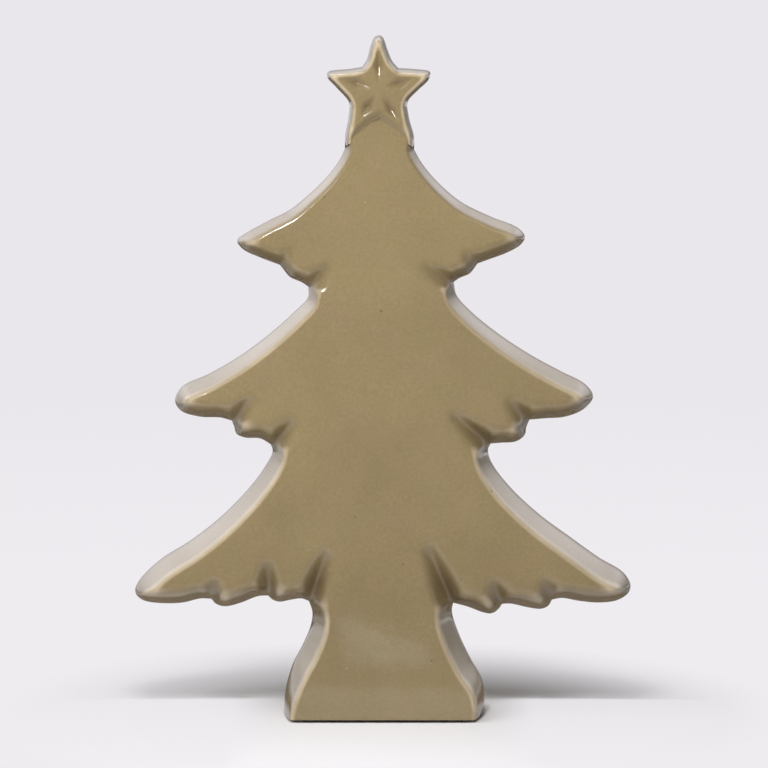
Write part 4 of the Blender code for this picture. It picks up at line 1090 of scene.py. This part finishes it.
nodes.links.new(between(nodes, coarse_grain, 0, 1, *CLAY_ROUGHNESS), shader.inputs["Roughness"])
shader.inputs["Specular IOR Level"].default_value = 0.3
nodes.links.new(raised(nodes, calc(nodes, "MULTIPLY", fine_grain, FINE_HEIGHT),
                       calc(nodes, "MULTIPLY", coarse_grain, COARSE_HEIGHT),
                       calc(nodes, "MULTIPLY", grog, GROG_HEIGHT)),
                shader.inputs["Normal"])
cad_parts["base_plate"].data.materials[0] = bare_clay

# Felt pads. Four round pads, punched out of self-adhesive wool felt, are stuck under the foot's
# corners. They lift the tree a little and keep the fired clay from scratching the table.
PAD_NODES = ["felt_pad_front_left", "felt_pad_front_right", "felt_pad_back_left",
             "felt_pad_back_right"]
PAD_SIDES = 48
DARK_WOOL = (0.030, 0.027, 0.023)
GREY_WOOL = (0.075, 0.069, 0.060)
LINT = (0.20, 0.19, 0.17)
FIBRE_WIDTH = 0.00012
FIBRE_STRETCH = 0.12        # a fibre is this much finer across than along
FIBRE_TURNS = (0.4, 1.5, 2.6)
FIBRE_FROM = (0.45, 0.75)
THIN_LEVELS = (0.85, 1.15)
LINT_SHARE = 0.6
FELT_ROUGHNESS = (0.95, 0.85)
FIBRE_HEIGHT = 0.00006
THIN_HEIGHT = 0.0001
felt, nodes, shader = new_look("felt")
strands = []
for turn in FIBRE_TURNS:
    lie = add_node(nodes, "ShaderNodeMapping", object_place(nodes), None, (0, 0, turn),
                   (FIBRE_STRETCH, 1, 1))
    strands.append(add_node(nodes, "ShaderNodeTexNoise", lie.outputs[0], None, 1 / FIBRE_WIDTH / 2,
                            2.0, 0.6).outputs[0])
fibres = calc(nodes, "MAXIMUM", calc(nodes, "MAXIMUM", strands[0], strands[1]), strands[2])
fibres = between(nodes, fibres, *FIBRE_FROM)
thin_places = laid_in(felt, drift_group, Patch_size=0.003)
lint = laid_in(felt, spots_group, Spacing=0.002, Spot_size=0.00025)
color = blended(nodes, fibres, DARK_WOOL, GREY_WOOL)
color = tinted(nodes, color, between(nodes, thin_places, 0, 1, *THIN_LEVELS))
color = blended(nodes, calc(nodes, "MULTIPLY", lint, LINT_SHARE), color, LINT)
nodes.links.new(color, shader.inputs["Base Color"])
nodes.links.new(between(nodes, fibres, 0, 1, *FELT_ROUGHNESS), shader.inputs["Roughness"])
shader.inputs["Specular IOR Level"].default_value = 0.2
shader.inputs["Sheen Weight"].default_value = 0.4
shader.inputs["Sheen Roughness"].default_value = 0.6
nodes.links.new(raised(nodes, calc(nodes, "MULTIPLY", fibres, FIBRE_HEIGHT),
                       calc(nodes, "MULTIPLY", thin_places, THIN_HEIGHT)),
                shader.inputs["Normal"])


def pad_places():
    """Geometry nodes that put a disc of felt at each point."""
    tree = bpy.data.node_groups.new("felt_pads", "GeometryNodeTree")
    for name, kind in (("Places", "Geometry"), ("Diameter", "Float"), ("Thickness", "Float"),
                       ("Felt", "Material")):
        tree.interface.new_socket(name, in_out="INPUT", socket_type="NodeSocket" + kind)
    tree.interface.new_socket("Pads", in_out="OUTPUT", socket_type="NodeSocketGeometry")
    given = tree.nodes.new("NodeGroupInput").outputs
    disc = add_node(tree, "GeometryNodeMeshCylinder", PAD_SIDES, 3, 8)
    tree.links.new(calc(tree, "DIVIDE", given["Diameter"], 2), disc.inputs["Radius"])
    tree.links.new(given["Thickness"], disc.inputs["Depth"])
    pads = add_node(tree, "GeometryNodeInstanceOnPoints", given["Places"])
    tree.links.new(disc.outputs["Mesh"], pads.inputs["Instance"])
    pads = add_node(tree, "GeometryNodeRealizeInstances", pads.outputs[0])
    pads = add_node(tree, "GeometryNodeSetMaterial", pads.outputs[0])
    tree.links.new(given["Felt"], pads.inputs["Material"])
    tree.links.new(pads.outputs[0], tree.nodes.new("NodeGroupOutput").inputs[0])
    return tree


pad_low, pad_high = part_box(PAD_NODES[0])
places = []
for node in PAD_NODES:
    low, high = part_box(node)
    places.append((low + high) / 2)
pads = pressed("felt_pads", drawing("pad_places", places, False), pad_places(),
               Diameter=pad_high.x - pad_low.x, Thickness=pad_high.z - pad_low.z, Felt=felt)
for piece in (tree, star, pads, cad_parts["base_plate"]):
    rear_lit.objects.link(piece)
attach(pads, "root")
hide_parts(*PAD_NODES)
